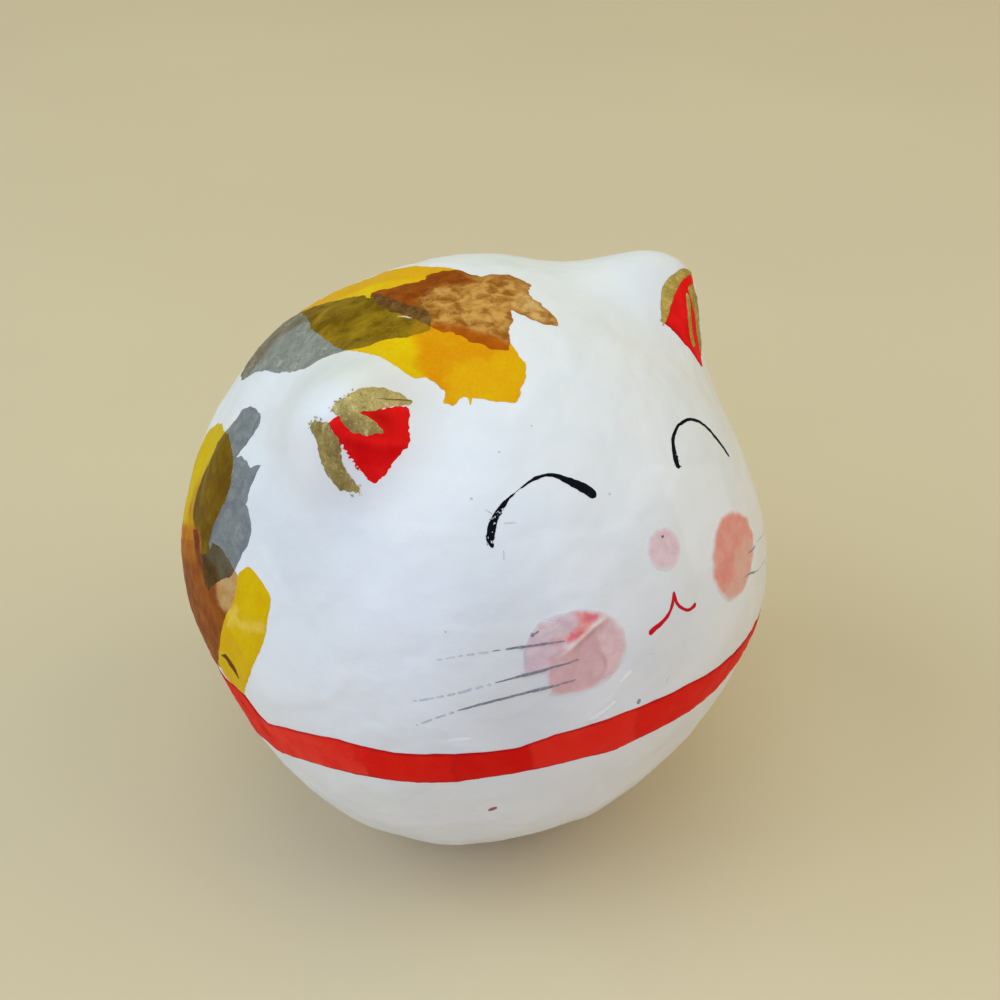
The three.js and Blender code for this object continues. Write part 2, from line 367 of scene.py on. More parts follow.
def white_paper():
    m = Nodes("white_paper_skin")
    tone = m.add("ShaderNodeAttribute", attribute_name="scrap_tone").outputs["Fac"]
    base = (WHITE_ALBEDO, WHITE_ALBEDO * 1.003, WHITE_ALBEDO * 0.997, 1.0)
    # each scrap's own whiteness, then the paint attribute's patches of thinner paint, painted light and painted shade,
    # then soft clouds, fine fibres and a few grey smudges
    c = m.mix(m.span(tone, -1.6, 1.6), times(base, 0.968), times(base, 1.028))
    c = m.mix(1.0, c, m.span(m.add("ShaderNodeAttribute", attribute_name="paint").outputs["Fac"], -0.1, 0.1, 0.9, 1.1), "MULTIPLY")
    c = m.mix(m.span(m.noise(9.0, 3.0, 0.6), 0.35, 0.68), c, m.mix(1.0, c, (0.962, 0.972, 0.985, 1), "MULTIPLY"))
    c = m.mix(m.span(m.noise(22.0, 2.0, 0.5), 0.40, 0.70), c, m.mix(1.0, c, (0.990, 0.985, 0.965, 1), "MULTIPLY"))
    c = m.mix(m.span(m.noise(0.55, 4.0, 0.7), 0.30, 0.75), c, m.mix(1.0, c, (0.978, 0.978, 0.978, 1), "MULTIPLY"))
    smudge = m.math("MULTIPLY", m.span(m.noise(2.6, 5.0, 0.75), 0.66, 0.80), m.span(m.noise(14.0, 2.0, 0.5), 0.48, 0.66))
    c = m.mix(m.math("MULTIPLY", smudge, 0.30), c, (0.46, 0.47, 0.50, 1))
    fibre = m.noise(0.8, 5.0, 0.68, 0.6)
    strokes = m.noise(3.0, 3.0, 0.55, 0.2, stretch=(1.0, 1.0, 3.2))
    m.bump(m.math("ADD", m.math("MULTIPLY", fibre, 0.5), m.math("MULTIPLY", strokes, 0.6)), 0.55, 0.11)
    return m.set(Base_Color=c, Roughness=m.span(m.noise(4.0, 3.0, 0.6), 0.3, 0.7, 0.36, 0.54), Specular_IOR_Level=0.30)


def tissue(name, main, other, spot_mm=3.0, spots=(0.42, 0.62), crinkle=0.0, crinkle_colour=None, crinkle_mm=2.2, rough=(0.36, 0.52), grain=0.06, bump=0.35, gloss=0.035, washes=(), crinkle_on=None):
    """Pasted tissue: main colour with cloudy spots of another, optional pale crinkle lines, and fine grain.

    Each wash is a vertex attribute's name with a main and other colour: the tissue takes on that colour, softly, where the attribute is high.
    crinkle_on names the attribute that the crinkle lines are kept to."""
    m = Nodes(name)
    spot = m.span(m.noise(spot_mm, 4.0, 0.62, 0.4), *spots)
    c = m.mix(spot, main, other)
    for attribute, wash_main, wash_other in washes:
        amount = m.add("ShaderNodeAttribute", attribute_name=attribute).outputs["Fac"]
        c = m.mix(amount, c, m.mix(spot, wash_main, wash_other))
    lines = None
    if crinkle:
        n = m.noise(crinkle_mm, 2.5, 0.55, 0.9)
        # a line where the noise passes its middle value
        away = m.math("ABSOLUTE", m.math("SUBTRACT", n, 0.5), 0.0)
        lines = m.math("MULTIPLY", m.span(away, 0.0, 0.045, 1.0, 0.0), m.span(m.noise(crinkle_mm * 3.0, 2.0, 0.5), 0.42, 0.6))
        if crinkle_on:
            lines = m.math("MULTIPLY", lines, m.add("ShaderNodeAttribute", attribute_name=crinkle_on).outputs["Fac"])
        c = m.mix(m.math("MULTIPLY", lines, crinkle), c, crinkle_colour or times(main, 1.5))
    c = m.mix(m.span(m.noise(0.5, 3.0, 0.65), 0.3, 0.7), times_node(m, c, 1.0 - grain), times_node(m, c, 1.0 + grain))
    height = m.math("ADD", m.math("MULTIPLY", m.noise(1.1, 4.0, 0.6), 0.6), m.math("MULTIPLY", m.noise(4.0, 2.0, 0.5), 0.7))
    if lines is not None:
        height = m.math("ADD", height, m.math("MULTIPLY", lines, 0.8))
    m.bump(height, bump, 0.10)
    return m.set(Base_Color=c, Roughness=m.span(m.noise(3.0, 3.0, 0.6), 0.3, 0.7, *rough), Specular_IOR_Level=gloss)


def times_node(m, c, k):
    return m.mix(1.0, c, (k, k, k, 1.0), "MULTIPLY")


def gold_paint(name, base, dark, light, thick=None):
    """Gold paint with streaks and flecks. thick gives the two colours it takes on, softly, where the attribute of that name is high."""
    m = Nodes(name)
    spot = m.span(m.noise(2.2, 4.0, 0.65), 0.36, 0.66)
    c = m.mix(spot, dark, base)
    if thick:
        c = m.mix(m.add("ShaderNodeAttribute", attribute_name="thick").outputs["Fac"], c, m.mix(spot, *thick))
    streaks = m.noise(0.9, 3.0, 0.6, 0.3, stretch=(1.0, 1.0, 0.35))
    c = m.mix(m.span(streaks, 0.56, 0.74), c, light)
    flecks = m.noise(0.34, 2.0, 0.6)
    c = m.mix(m.math("MULTIPLY", m.span(flecks, 0.43, 0.31), 0.60), c, tint(98, 88, 54))
    c = m.mix(m.math("MULTIPLY", m.span(m.noise(0.30, 2.0, 0.6, 0.3), 0.57, 0.72), 0.40), c, tint(216, 207, 156))
    m.bump(m.math("ADD", m.noise(0.7, 4.0, 0.65), m.math("MULTIPLY", streaks, 0.6)), 0.6, 0.10)
    return m.set(Base_Color=c, Metallic=0.25, Roughness=m.span(m.noise(1.2, 3.0, 0.6), 0.3, 0.7, 0.38, 0.6), Specular_IOR_Level=0.15)


def ink(name, main, worn, spots=(0.62, 0.80), size=0.7, rough=0.5):
    m = Nodes(name)
    c = m.mix(m.span(m.noise(size, 4.0, 0.7), *spots), main, worn)
    m.bump(m.noise(0.5, 3.0, 0.6), 0.3, 0.05)
    return m.set(Base_Color=c, Roughness=m.span(m.noise(1.0, 2.0, 0.5), 0.3, 0.7, rough - 0.08, rough + 0.1), Specular_IOR_Level=0.03)


# ---------------------------------------------------------------------------
# Meshes
# ---------------------------------------------------------------------------
def make_object(name, verts, faces, materials, slots=None, sharp_deg=40.0):
    mesh = bpy.data.meshes.new(name)
    mesh.from_pydata([tuple(v) for v in verts], [], faces)
    for m in materials:
        mesh.materials.append(m)
    if slots is not None:
        mesh.polygons.foreach_set("material_index", np.asarray(slots, np.int32))
    mesh.polygons.foreach_set("use_smooth", np.ones(len(faces), bool))
    if sharp_deg:
        bm = bmesh.new()
        bm.from_mesh(mesh)
        bend = math.radians(sharp_deg)
        for e in bm.edges:
            if len(e.link_faces) == 2 and e.calc_face_angle(0.0) > bend:
                e.smooth = False
        bm.to_mesh(mesh)
        bm.free()
    mesh.update()
    o = bpy.data.objects.new(name, mesh)
    bpy.context.scene.collection.objects.link(o)
    return o


def belongs(o, node=None):
    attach(o, "root")
    if node:
        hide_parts(node)
    return o


def in_outline(p, outline):
    x, y = p[:, 0], p[:, 1]
    inside = np.zeros(len(p), bool)
    a = np.asarray(outline)
    for (x0, y0), (x1, y1) in zip(a, np.roll(a, -1, 0)):
        if y0 == y1:
            continue
        cross = ((y0 > y) != (y1 > y)) & (x < (x1 - x0) * (y - y0) / (y1 - y0) + x0)
        inside ^= cross
    return inside


def sheet(name, mapper, outlines, pick, materials, step=0.9, lift=0.10, layer=0.05, edge=0.04, depth=0.35, swell=None, under=None, washes=None):
    """A closed thin skin on the ball, made of overlapping flat outlines (in the mapper's flat mm).

    pick gives each area's material from the outlines that cover it, or None to leave it open. lift is the height of one layer, layer that of each further one,
    edge the height left at the rim, depth how far the skin's hidden underside lies in the ball. swell(xy) adds height, and under(d) is what lies beneath.
    washes names vertex attributes, each with a function of the flat place that gives 0 to 1."""
    points, loops = [], []
    for o in outlines:
        loops.append(list(range(len(points), len(points) + len(o))))
        points.extend(map(tuple, o))
    p = np.array(points)
    lo, hi = p.min(0) - step, p.max(0) + step
    rows = np.arange(lo[1], hi[1], step * 0.866)
    grid = np.array([(x + (step / 2 if n % 2 else 0), y) for n, y in enumerate(rows) for x in np.arange(lo[0], hi[0], step)])
    grid += 0.12 * step * np.stack([noise2(grid, step * 1.7, 11), noise2(grid, step * 1.7, 12)], -1)
    keep = np.zeros(len(grid), bool)
    for o in outlines:
        keep |= in_outline(grid, o)
    grid = grid[keep]
    if len(grid):
        clear = np.ones(len(grid), bool)
        for s in range(0, len(grid), 500):
            g = grid[s:s + 500]
            clear[s:s + 500] = np.sqrt(((g[:, None] - p[None]) ** 2).sum(2)).min(1) > 0.42 * step
        grid = grid[clear]
    every = np.vstack([p, grid]) if len(grid) else p
    edges = [(a, b) for loop in loops for a, b in zip(loop, loop[1:] + loop[:1])]
    flat, _, tris, _, _, _ = delaunay_2d_cdt([Vector(v) for v in every], edges, [], 0, 1e-5, False)
    flat = np.array([(v[0], v[1]) for v in flat])
    tris = np.array([t for t in tris if len(t) == 3])
    middle = flat[tris].mean(1)
    covered = np.stack([in_outline(middle, o) for o in outlines], 1)
    corners, slots, count = [], [], []
    for t, own in zip(tris, covered):
        own = tuple(np.nonzero(own)[0].tolist())
        m = pick(own) if own else None
        if m is not None:
            corners.append(t)
            slots.append(materials.index(m))
            count.append(len(own))
    corners, count = np.array(corners), np.array(count, float)
    used, back = np.unique(corners, return_inverse=True)
    corners, flat = back.reshape(-1, 3), flat[used]
    d = mapper(flat)
    base = skin(d)
    # all faces turned out of the ball
    spots = place(d, base)
    normal = np.cross(spots[corners[:, 1]] - spots[corners[:, 0]], spots[corners[:, 2]] - spots[corners[:, 0]])
    wrong = (normal * d[corners[:, 0]]).sum(1) < 0
    corners[wrong] = corners[wrong][:, ::-1]
    directed = {}
    for n, t in enumerate(corners):
        for a, b in ((t[0], t[1]), (t[1], t[2]), (t[2], t[0])):
            directed[(int(a), int(b))] = n
    rim = [(a, b, n) for (a, b), n in directed.items() if (b, a) not in directed]
    least = np.full(len(flat), 99.0)
    for k in range(3):
        np.minimum.at(least, corners[:, k], count)
    h = lift + (least - 1.0) * layer
    if swell is not None:
        h = h + swell(flat)
    on_rim = np.zeros(len(flat), bool)
    for a, b, _ in rim:
        on_rim[a] = on_rim[b] = True
    h[on_rim] = edge
    if under is not None:
        h = h + under(d)
    n = len(flat)
    verts = np.vstack([place(d, base + h), place(d, base - depth)])
    faces = [tuple(int(v) for v in t) for t in corners] + [tuple(int(v) + n for v in t[::-1]) for t in corners]
    index = list(slots) + list(slots)
    for a, b, t in rim:
        faces.append((a + n, b + n, b, a))
        index.append(slots[t])
    o = make_object(name, verts, faces, materials, index)
    for key, amount in (washes or {}).items():
        a = o.data.attributes.new(key, "FLOAT", "POINT")
        v = np.clip(amount(flat), 0, 1).astype(np.float32)
        a.data.foreach_set("value", np.r_[v, v])
    return o


def depth_in(p, outline):
    """How far points lie inside an outline in mm, negative outside."""
    a = np.asarray(outline, float)
    away, _ = to_line(p, np.vstack([a, a[:1]]))
    return np.where(in_outline(p, a), away, -away)


def inside(outline, soft, seed=0, ragged=0.0, grow=0.0):
    """A wash that fills an outline, with an edge soft mm wide."""
    return lambda p: smoothstep(-soft / 2, soft / 2, depth_in(p, outline) + grow + ragged * (noise2(p, 1.5, seed) + 0.6 * noise2(p, 0.6, seed + 1)))


def outside(outline, soft, seed=0, ragged=0.0, grow=0.0):
    fill = inside(outline, soft, seed, ragged, grow)
    return lambda p: 1.0 - fill(p)


def any_of(*washes):
    return lambda p: np.max([w(p) for w in washes], 0)


def stroke(line, half, amounts=(1.0, 1.0), seed=0):
    """A wash along a line, half mm to each side, with an amount at each of its points."""
    line = np.asarray(line, float)

    def wash(p):
        away, where = to_line(p, line)
        return np.exp(-((away / half) ** 2)) * np.interp(where, np.linspace(0, 1, len(amounts)), amounts) * (1 + 0.25 * noise2(p, 0.9, seed))
    return wash


def along(points, step, closed=True):
    p = np.asarray(points, float)
    q = np.vstack([p, p[:1]]) if closed else p
    out = []
    for a, b in zip(q[:-1], q[1:]):
        n = max(1, int(round(np.linalg.norm(b - a) / step)))
        out.append(a + (b - a) * np.linspace(0, 1, n, endpoint=False)[:, None])
    if not closed:
        out.append(q[-1:])
    return np.vstack(out)


def round_off(points, times_=1, cut=0.14):
    p = np.asarray(points, float)
    for _ in range(times_):
        nxt = np.roll(p, -1, 0)
        p = np.stack([p * (1 - cut) + nxt * cut, p * cut + nxt * (1 - cut)], 1).reshape(-1, 2)
    return p


def torn(points, seed, rough=0.20, step=0.28, rounds=1, waves=(1.9, 0.62)):
    """An outline with rounded corners and a torn, fibrous edge."""
    p = along(round_off(points, rounds), step)
    t = np.roll(p, -1, 0) - np.roll(p, 1, 0)
    n = np.stack([t[:, 1], -t[:, 0]], -1) / np.maximum(np.linalg.norm(t, axis=1), 1e-9)[:, None]
    a = 0.70 * noise2(p, waves[0], seed) + 0.60 * noise2(p, waves[1], seed + 7)
    return p + n * (rough * a)[:, None]


def curve(points, step=0.25):
    """A smooth line through points."""
    p = np.asarray(points, float)
    q = np.vstack([2 * p[0] - p[1], p, 2 * p[-1] - p[-2]])
    out = []
    for k in range(len(p) - 1):
        a, b, c, e = q[k:k + 4]
        n = max(2, int(np.linalg.norm(c - b) / step))
        t = np.linspace(0, 1, n, endpoint=False)[:, None]
        out.append(0.5 * (2 * b + (c - a) * t + (2 * a - 5 * b + 4 * c - e) * t ** 2 + (3 * b - a - 3 * c + e) * t ** 3))
    out.append(p[-1:])
    return np.vstack(out)


def band(points, widths, seed, rough=0.05, span=(0.0, 1.0), step=0.22, side=0.0):
    """Outline of a drawn line: a centre line with a width at each of its points. span takes a part of it, and side moves it across."""
    line = curve(points, step)
    s = np.r_[0, np.cumsum(np.linalg.norm(np.diff(line, axis=0), axis=1))]
    given = np.linspace(0, 1, len(widths))
    # width is given by point, so measure each point's place along the line
    at = np.array([s[np.argmin(((line - q) ** 2).sum(1))] for q in np.asarray(points, float)]) / s[-1] if len(widths) == len(points) else given
    u = s / s[-1]
    t = np.gradient(line, axis=0)
    t /= np.maximum(np.linalg.norm(t, axis=1), 1e-9)[:, None]
    n = np.stack([-t[:, 1], t[:, 0]], -1)
    line = line + n * side
    w = np.interp(u, at, widths) / 2
    pick = (u >= span[0]) & (u <= span[1])
    line, w, n, u = line[pick], w[pick], n[pick], u[pick]
    if len(line) < 3:
        return None
    # round ends
    ends = np.minimum(u - u[0], u[-1] - u) * s[-1]
    w = w * np.sqrt(np.clip(1 - (1 - np.clip(ends / np.maximum(w, 1e-4), 0, 1)) ** 2, 0.04, 1))
    a = w + rough * noise2(line, 0.8, seed) + 0.5 * rough * noise2(line, 0.35, seed + 3)
    b = w + rough * noise2(line, 0.8, seed + 5) + 0.5 * rough * noise2(line, 0.35, seed + 9)
    a, b = np.maximum(a, 0.03), np.maximum(b, 0.03)
    return np.vstack([line + n * a[:, None], (line - n * b[:, None])[::-1]])


def blob(x, y, r, seed, sides=9, squash=1.0, turn=0.0):
    t = np.arange(sides) * 2 * math.pi / sides
    p = np.stack([np.cos(t), np.sin(t) * squash], -1) * r
    p *= (1 + 0.28 * noise2(p + seed * 1.7, r * 1.1, seed))[:, None]
    c, s = math.cos(turn), math.sin(turn)
    return p @ np.array([[c, s], [-s, c]]) + (x, y)


# ---------------------------------------------------------------------------
# Camera, at the photograph's angle: the ball's centre and size in the picture fix it.
# ---------------------------------------------------------------------------
FOCAL_PX, FRAME_PX = 1388.9, 1000.0
CENTRE_PX, BALL_PX = (475.6, 546.0), 293.0
ELEVATION, TURN = math.radians(34.0), math.radians(37.4)


def add_camera():
    c = np.array([(CENTRE_PX[0] - FRAME_PX / 2) / FOCAL_PX, -(CENTRE_PX[1] - FRAME_PX / 2) / FOCAL_PX, -1.0])
    c /= np.linalg.norm(c)
    away = c * R / math.sin(math.atan(BALL_PX / FOCAL_PX))
    z = -c
    t = math.atan2(z[1], z[2]) + math.acos(np.clip(math.sin(ELEVATION) / math.hypot(z[1], z[2]), -1, 1))
    up = np.array([0, math.sin(t), math.cos(t)])
    level = z - (z @ up) * up
    level /= np.linalg.norm(level)
    right = np.cross(up, level)
    face = math.cos(TURN) * level + math.sin(TURN) * right
    to_camera = np.stack([np.cross(up, face), -face, up], 1)
    at = np.array([0, 0, ZC]) - to_camera.T @ away
    data = bpy.data.cameras.new("camera")
    data.sensor_width = 36.0
    data.lens = FOCAL_PX / FRAME_PX * 36.0
    data.clip_start, data.clip_end = 0.01, 20.0
    o = bpy.data.objects.new("camera", data)
    m = np.eye(4)
    m[:3, :3] = to_camera.T
    m[:3, 3] = at * MM
    o.matrix_world = Matrix(m.tolist())
    bpy.context.scene.collection.objects.link(o)
    bpy.context.scene.camera = o
    return o


add_camera()


# ---------------------------------------------------------------------------
# Body
# ---------------------------------------------------------------------------
def add_body(n=120):
    """A cube's six faces, each n by n, blown up to the ball, with the underside flat on the floor."""
    i, j = np.meshgrid(np.arange(n + 1), np.arange(n + 1), indexing="ij")
    i, j = i.ravel(), j.ravel()
    lattice, quads, maps = [], [], []
    a, b = np.meshgrid(np.arange(n), np.arange(n), indexing="ij")
    q = (a * (n + 1) + b).ravel()
    cell = np.stack([q, q + n + 1, q + n + 2, q + 1], -1)
    for face in range(6):
        axis, side = face // 2, face % 2
        g = np.zeros((len(i), 3), int)
        g[:, axis], g[:, (axis + 1) % 3], g[:, (axis + 2) % 3] = side * n, i, j
        quads.append((cell if side else cell[:, ::-1]) + face * len(i))
        lattice.append(g)
        col, row = face % 3, face // 3
        maps.append(np.stack([(col + 0.01 + 0.98 * i / n) / 3, (row + 0.01 + 0.98 * j / n) / 2], -1))
    lattice, quads, maps = np.vstack(lattice), np.vstack(quads), np.vstack(maps)
    points, back = np.unique(lattice, axis=0, return_inverse=True)
    back = back.ravel()
    d = np.tan((points / n * 2 - 1) * math.pi / 4)
    d /= np.linalg.norm(d, axis=1)[:, None]
    tones = np.zeros(len(d))
    r = skin_radius(d) + relief(d, tones)
    low = d[:, 2] < -0.5
    r[low] = np.minimum(r[low], ZC / -d[low, 2])
    verts = place(d, r)
    verts[low, 2] = np.maximum(verts[low, 2], 0.0)
    o = make_object("cat_body_skin", verts, [tuple(map(int, f)) for f in back[quads]], [white_paper()], sharp_deg=0)
    mesh = o.data
    tone = mesh.attributes.new("scrap_tone", "FLOAT", "POINT")
    tone.data.foreach_set("value", tones.astype(np.float32))
    # patches of thinner paint and of painted light and painted shade round the ears and flank, kept in the paint
    # attribute
    thick = sum(amount * np.exp(-((np.degrees(np.arccos(np.clip(d @ unit(lon, lat), -1, 1))) / reach) ** 2)) for lon, lat, reach, amount in PAINT_CLOUDS_AND_SHADING)
    paint = mesh.attributes.new("paint", "FLOAT", "POINT")
    paint.data.foreach_set("value", thick.astype(np.float32))
    uv = mesh.uv_layers.new(name="OFBake")
    uv.data.foreach_set("uv", maps[quads].reshape(-1).astype(np.float32))
    return belongs(o, "cat_body")


add_body()

# ---------------------------------------------------------------------------
# Tissue scraps on the crown
# ---------------------------------------------------------------------------
crown = skin_chart(-62, 80)
CROWN_YELLOW = [(-34.0, 6.0), (-31.0, 11.5), (-25.4, 15.2), (-21.0, 16.6), (-16.6, 15.7), (-10.4, 13.2), (-3.9, 11.7), (1.0, 9.1), (-0.2, 6.0), (-4.5, 4.1), (-4.2, -1.2), (-0.6, -4.9),
                (5.2, -4.4), (8.9, -4.2), (12.1, -4.6), (14.0, -6.4), (15.5, -7.0), (16.4, -9.2), (16.6, -11.8), (17.1, -14.2), (14.6, -15.3), (11.6, -16.0), (10.8, -16.2), (11.1, -17.6),
                (10.2, -16.6), (9.6, -16.7), (9.1, -18.5), (7.3, -19.0), (7.0, -16.9), (5.2, -16.3), (3.5, -16.1), (2.5, -17.2), (-0.4, -16.6), (-3.3, -15.4), (-8.6, -14.1), (-11.0, -13.7),
                (-13.1, -12.5), (-17.1, -9.6), (-21.8, -6.4), (-26.0, -1.4)]
CROWN_YELLOW_TOP = [(-4.5, -4.0), (0.1, -5.0), (5.8, -4.6), (12.0, -5.0), (11.7, -6.2), (10.0, -9.1), (6.7, -11.8), (6.6, -15.5), (8.2, -18.6), (7.1, -17.6), (3.8, -16.2), (1.7, -14.6), (-0.6, -10.0), (-3.0, -7.0)]
CROWN_GREY = [(-37.4, -11.5), (-41.0, -7.4), (-41.0, 0.5), (-36.0, 5.6), (-26.6, 4.2), (-16.0, 1.9), (-14.3, 0.6), (-13.6, 2.0), (-7.0, -1.4), (-2.0, -2.7), (-0.1, -5.6), (0.1, -7.2), (-2.1, -9.2),
              (-5.7, -11.2), (-7.6, -13.6), (-11.0, -13.9), (-14.1, -14.9), (-17.1, -16.0), (-19.3, -15.9), (-23.3, -15.2), (-31.4, -12.2)]
CROWN_BROWN = [(-15.5, 2.4), (-11.8, 3.9), (-7.6, 6.6), (-7.9, 9.3), (-3.8, 11.4), (0.6, 9.9), (2.1, 12.4), (4.8, 13.1), (8.8, 11.7), (8.9, 9.4), (10.7, 7.8), (13.5, 6.3), (16.7, 3.7), (15.0, 2.3),
               (12.5, 2.3), (8.6, 3.2), (10.2, 0.4), (10.8, -2.7), (12.1, -4.6), (12.3, -6.2), (9.6, -7.1), (5.8, -7.0), (2.2, -6.7), (0.0, -6.3), (-3.4, -5.0), (-7.5, -3.8), (-13.0, -0.5)]

CROWN_YELLOW_LOW = [(11.0, -4.0), (14.0, -5.4), (16.6, -6.6), (18.0, -9.0), (18.2, -15.0), (14.0, -17.0), (11.6, -18.4), (9.5, -20.4), (7.2, -20.6), (6.2, -17.5), (6.4, -12.4), (8.8, -9.2)]
CROWN_YELLOW_BACK = [(-35.0, 4.0), (-32.0, 12.0), (-22.0, 20.0), (-8.0, 16.0), (2.0, 10.6), (-3.6, 7.6), (-9.0, 7.4), (-16.0, 6.6), (-21.0, 4.4), (-26.0, 2.4)]
MID, DEEP = (tint(208, 156, 1), tint(206, 164, 2)), (tint(204, 136, 1), tint(203, 146, 1))
M_YELLOW = tissue("tissue_yellow", tint(210, 172, 2), tint(208, 182, 3), 5.0, (0.40, 0.62), washes=[("mid", *MID), ("deep", *DEEP)])
M_OLIVE = tissue("tissue_grey_on_yellow", tint(100, 77, 4), tint(143, 116, 18), 4.2, (0.38, 0.66), crinkle=0.20, crinkle_colour=tint(164, 140, 48), crinkle_mm=1.8,
                 washes=[("deep", tint(126, 97, 9), tint(154, 120, 18))])
# the back wash makes the grey darker and browner towards its edge by the silhouette, made darker still as painted shade
# against the brighter light at that edge
M_GREY = tissue("tissue_grey", tint(116, 122, 115), tint(136, 140, 132), 2.6, (0.40, 0.64), crinkle=0.55, crinkle_colour=tint(172, 177, 170), crinkle_mm=2.0, bump=0.5,
                washes=[("back", tint(104, 98, 80), tint(120, 115, 96))])
M_BROWN = tissue("tissue_brown", tint(119, 57, 5), tint(146, 75, 9), 2.4, (0.38, 0.62), crinkle=0.30, crinkle_colour=tint(212, 174, 112), crinkle_mm=2.8, bump=0.55, crinkle_on="bare",
                 washes=[("strip", tint(150, 72, 6), tint(164, 84, 10)), ("bare", tint(134, 83, 20), tint(190, 146, 74)), ("arm", tint(156, 112, 46), tint(204, 172, 108)), ("rim", tint(134, 80, 24), tint(158, 106, 44))])
# a painted highlight: a pale sliver standing in for the sheen on a glossy crease below the dark stripe
M_GLINT = tissue("painted_glint_highlight", tint(176, 166, 140), tint(206, 198, 180), 0.8)
M_DARK = tissue("tissue_grey_on_brown", tint(87, 56, 23), tint(116, 87, 44), 2.0, (0.44, 0.64), crinkle=0.25, crinkle_colour=tint(128, 100, 62))

CROWN_GLINT = [(-6.6, -4.7), (-5.4, -4.4), (-3.7, -4.85), (-4.3, -5.05)]
CROWN_GREY_BACK = [(-35.0, -11.6), (-33.4, -9.7), (-32.4, -6.9), (-31.6, -4.2), (-29.4, -3.6), (-27.6, -3.2), (-25.6, -2.6), (-22.0, -0.5), (-22.0, 6.0), (-36.0, 9.0), (-44.0, 3.0), (-44.0, -8.0), (-39.0, -13.0)]
CROWN_TOP_RIM = [(0.2, 8.8), (1.6, 13.0), (4.8, 14.2), (9.8, 12.6), (9.8, 9.0), (6.0, 9.6), (3.0, 9.2)]
CROWN_STRIP = [(-1.0, -3.4), (5.2, -3.6), (9.0, -3.4), (13.0, -3.6), (13.0, -7.6), (5.0, -7.8), (-1.0, -7.0)]
crown_outlines = [torn(CROWN_YELLOW, 1, 0.26), torn(CROWN_GREY, 2, 0.34), torn(CROWN_BROWN, 4, 0.48, waves=(1.7, 0.6)), torn(CROWN_GLINT, 5, 0.10)]
arm = [(8.0, 12.0), (9.6, 9.0), (13.6, 6.6), (17.4, 3.7), (15.0, 1.6), (11.6, 2.6), (8.8, 5.0), (8.2, 9.0)]
crown_washes = {
    "mid": any_of(inside(CROWN_YELLOW_LOW, 1.4, 301, 0.3), inside(CROWN_YELLOW_BACK, 2.0, 303, 0.3)),
    "deep": inside(CROWN_YELLOW_TOP, 1.8, 305, 0.4),
    "bare": outside(CROWN_YELLOW, 1.8, 307, 0.55, -0.2),
    "strip": inside(CROWN_STRIP, 1.0, 309, 0.2),
    "back": inside(CROWN_GREY_BACK, 1.8, 317, 0.4),
    "arm": inside(arm, 2.4, 315, 0.5),
    "rim": lambda p: 0.85 * np.maximum(smoothstep(0.8, 0.1, depth_in(p, CROWN_BROWN) + 0.3 * noise2(p, 1.1, 311)), np.maximum(0.2 * inside(arm, 3.0, 313, 0.8)(p), 0.6 * inside(CROWN_TOP_RIM, 2.4, 319, 0.5)(p))) * outside(CROWN_YELLOW, 0.6)(p),
}


def crown_pick(own):
    yellow, grey, brown, glint = (k in own for k in range(4))
    if glint:
        return M_GLINT
    if grey and brown:
        return M_DARK
    if grey:
        return M_OLIVE if yellow else M_GREY
    if brown:
        return M_BROWN
    return M_YELLOW if yellow else None


def crinkles(seed, size=3.0, height=0.05):
    def swell(xy):
        a = noise2(xy, size, seed)
        b = noise2(xy, size * 0.45, seed + 1)
        return height * (np.exp(-((a / 0.16) ** 2)) + 0.5 * np.exp(-((b / 0.18) ** 2)) - 0.4)
    return swell


belongs(sheet("crown_tissue", lambda xy: from_chart(crown, xy), crown_outlines, crown_pick,
              [M_YELLOW, M_OLIVE, M_GREY, M_BROWN, M_DARK, M_GLINT], step=0.7, swell=crinkles(21), washes=crown_washes), "crown_patch")

# ---------------------------------------------------------------------------
# Tissue scraps on the right flank
# ---------------------------------------------------------------------------
flank = skin_chart(-92, 22)
FLANK_YELLOW = [(-16.1, 12.7), (-12.2, 13.7), (-8.2, 12.7), (-5.5, 11.4), (-3.4, 8.6), (-3.6, 4.9), (-4.1, 1.5), (-4.1, -2.1), (-0.2, -5.8), (0.5, -7.8), (1.8, -9.2), (4.2, -9.4), (3.2, -13.6), (2.0, -18.8), (-0.2, -22.0), (-3.2, -24.6),
                (-14.0, -24.6), (-22.0, -19.0), (-28.0, -12.0), (-30.0, 0.0), (-30.0, 8.2), (-25.2, 11.4), (-21.4, 12.6)]
FLANK_GREY_TOP = [(-10.6, 19.4), (-6.4, 19.9), (-4.2, 18.6), (-4.3, 16.4), (-5.4, 13.1), (-5.6, 12.2), (-4.3, 13.0), (-2.2, 13.1), (-0.4, 12.6), (0.2, 13.2), (1.7, 14.3), (1.5, 12.9), (1.4, 11.8), (1.5, 10.2), (2.1, 8.4), (0.8, 6.2), (-2.6, 5.2), (-3.4, 1.0),
                  (-3.6, -2.0), (-4.8, -5.6), (-6.4, -4.6), (-8.6, -2.6), (-12.6, -2.6), (-14.8, -1.4), (-16.4, -0.4), (-18.2, 1.4), (-18.2, 4.6), (-17.8, 7.4), (-17.4, 9.7), (-15.5, 12.3), (-14.9, 13.3), (-13.4, 15.5), (-13.0, 18.0)]
FLANK_GREY_LOW = [(-4.0, 5.1), (-0.1, 7.8), (2.8, 7.7), (4.6, 6.2), (5.3, 4.8), (5.6, 3.2), (4.6, 0.1), (3.9, -1.9), (3.5, -3.5), (-0.2, -6.4), (-2.2, -9.1), (-3.7, -8.6), (-5.3, -6.8), (-5.4, -4.4), (-5.1, -2.8), (-4.2, 1.0)]
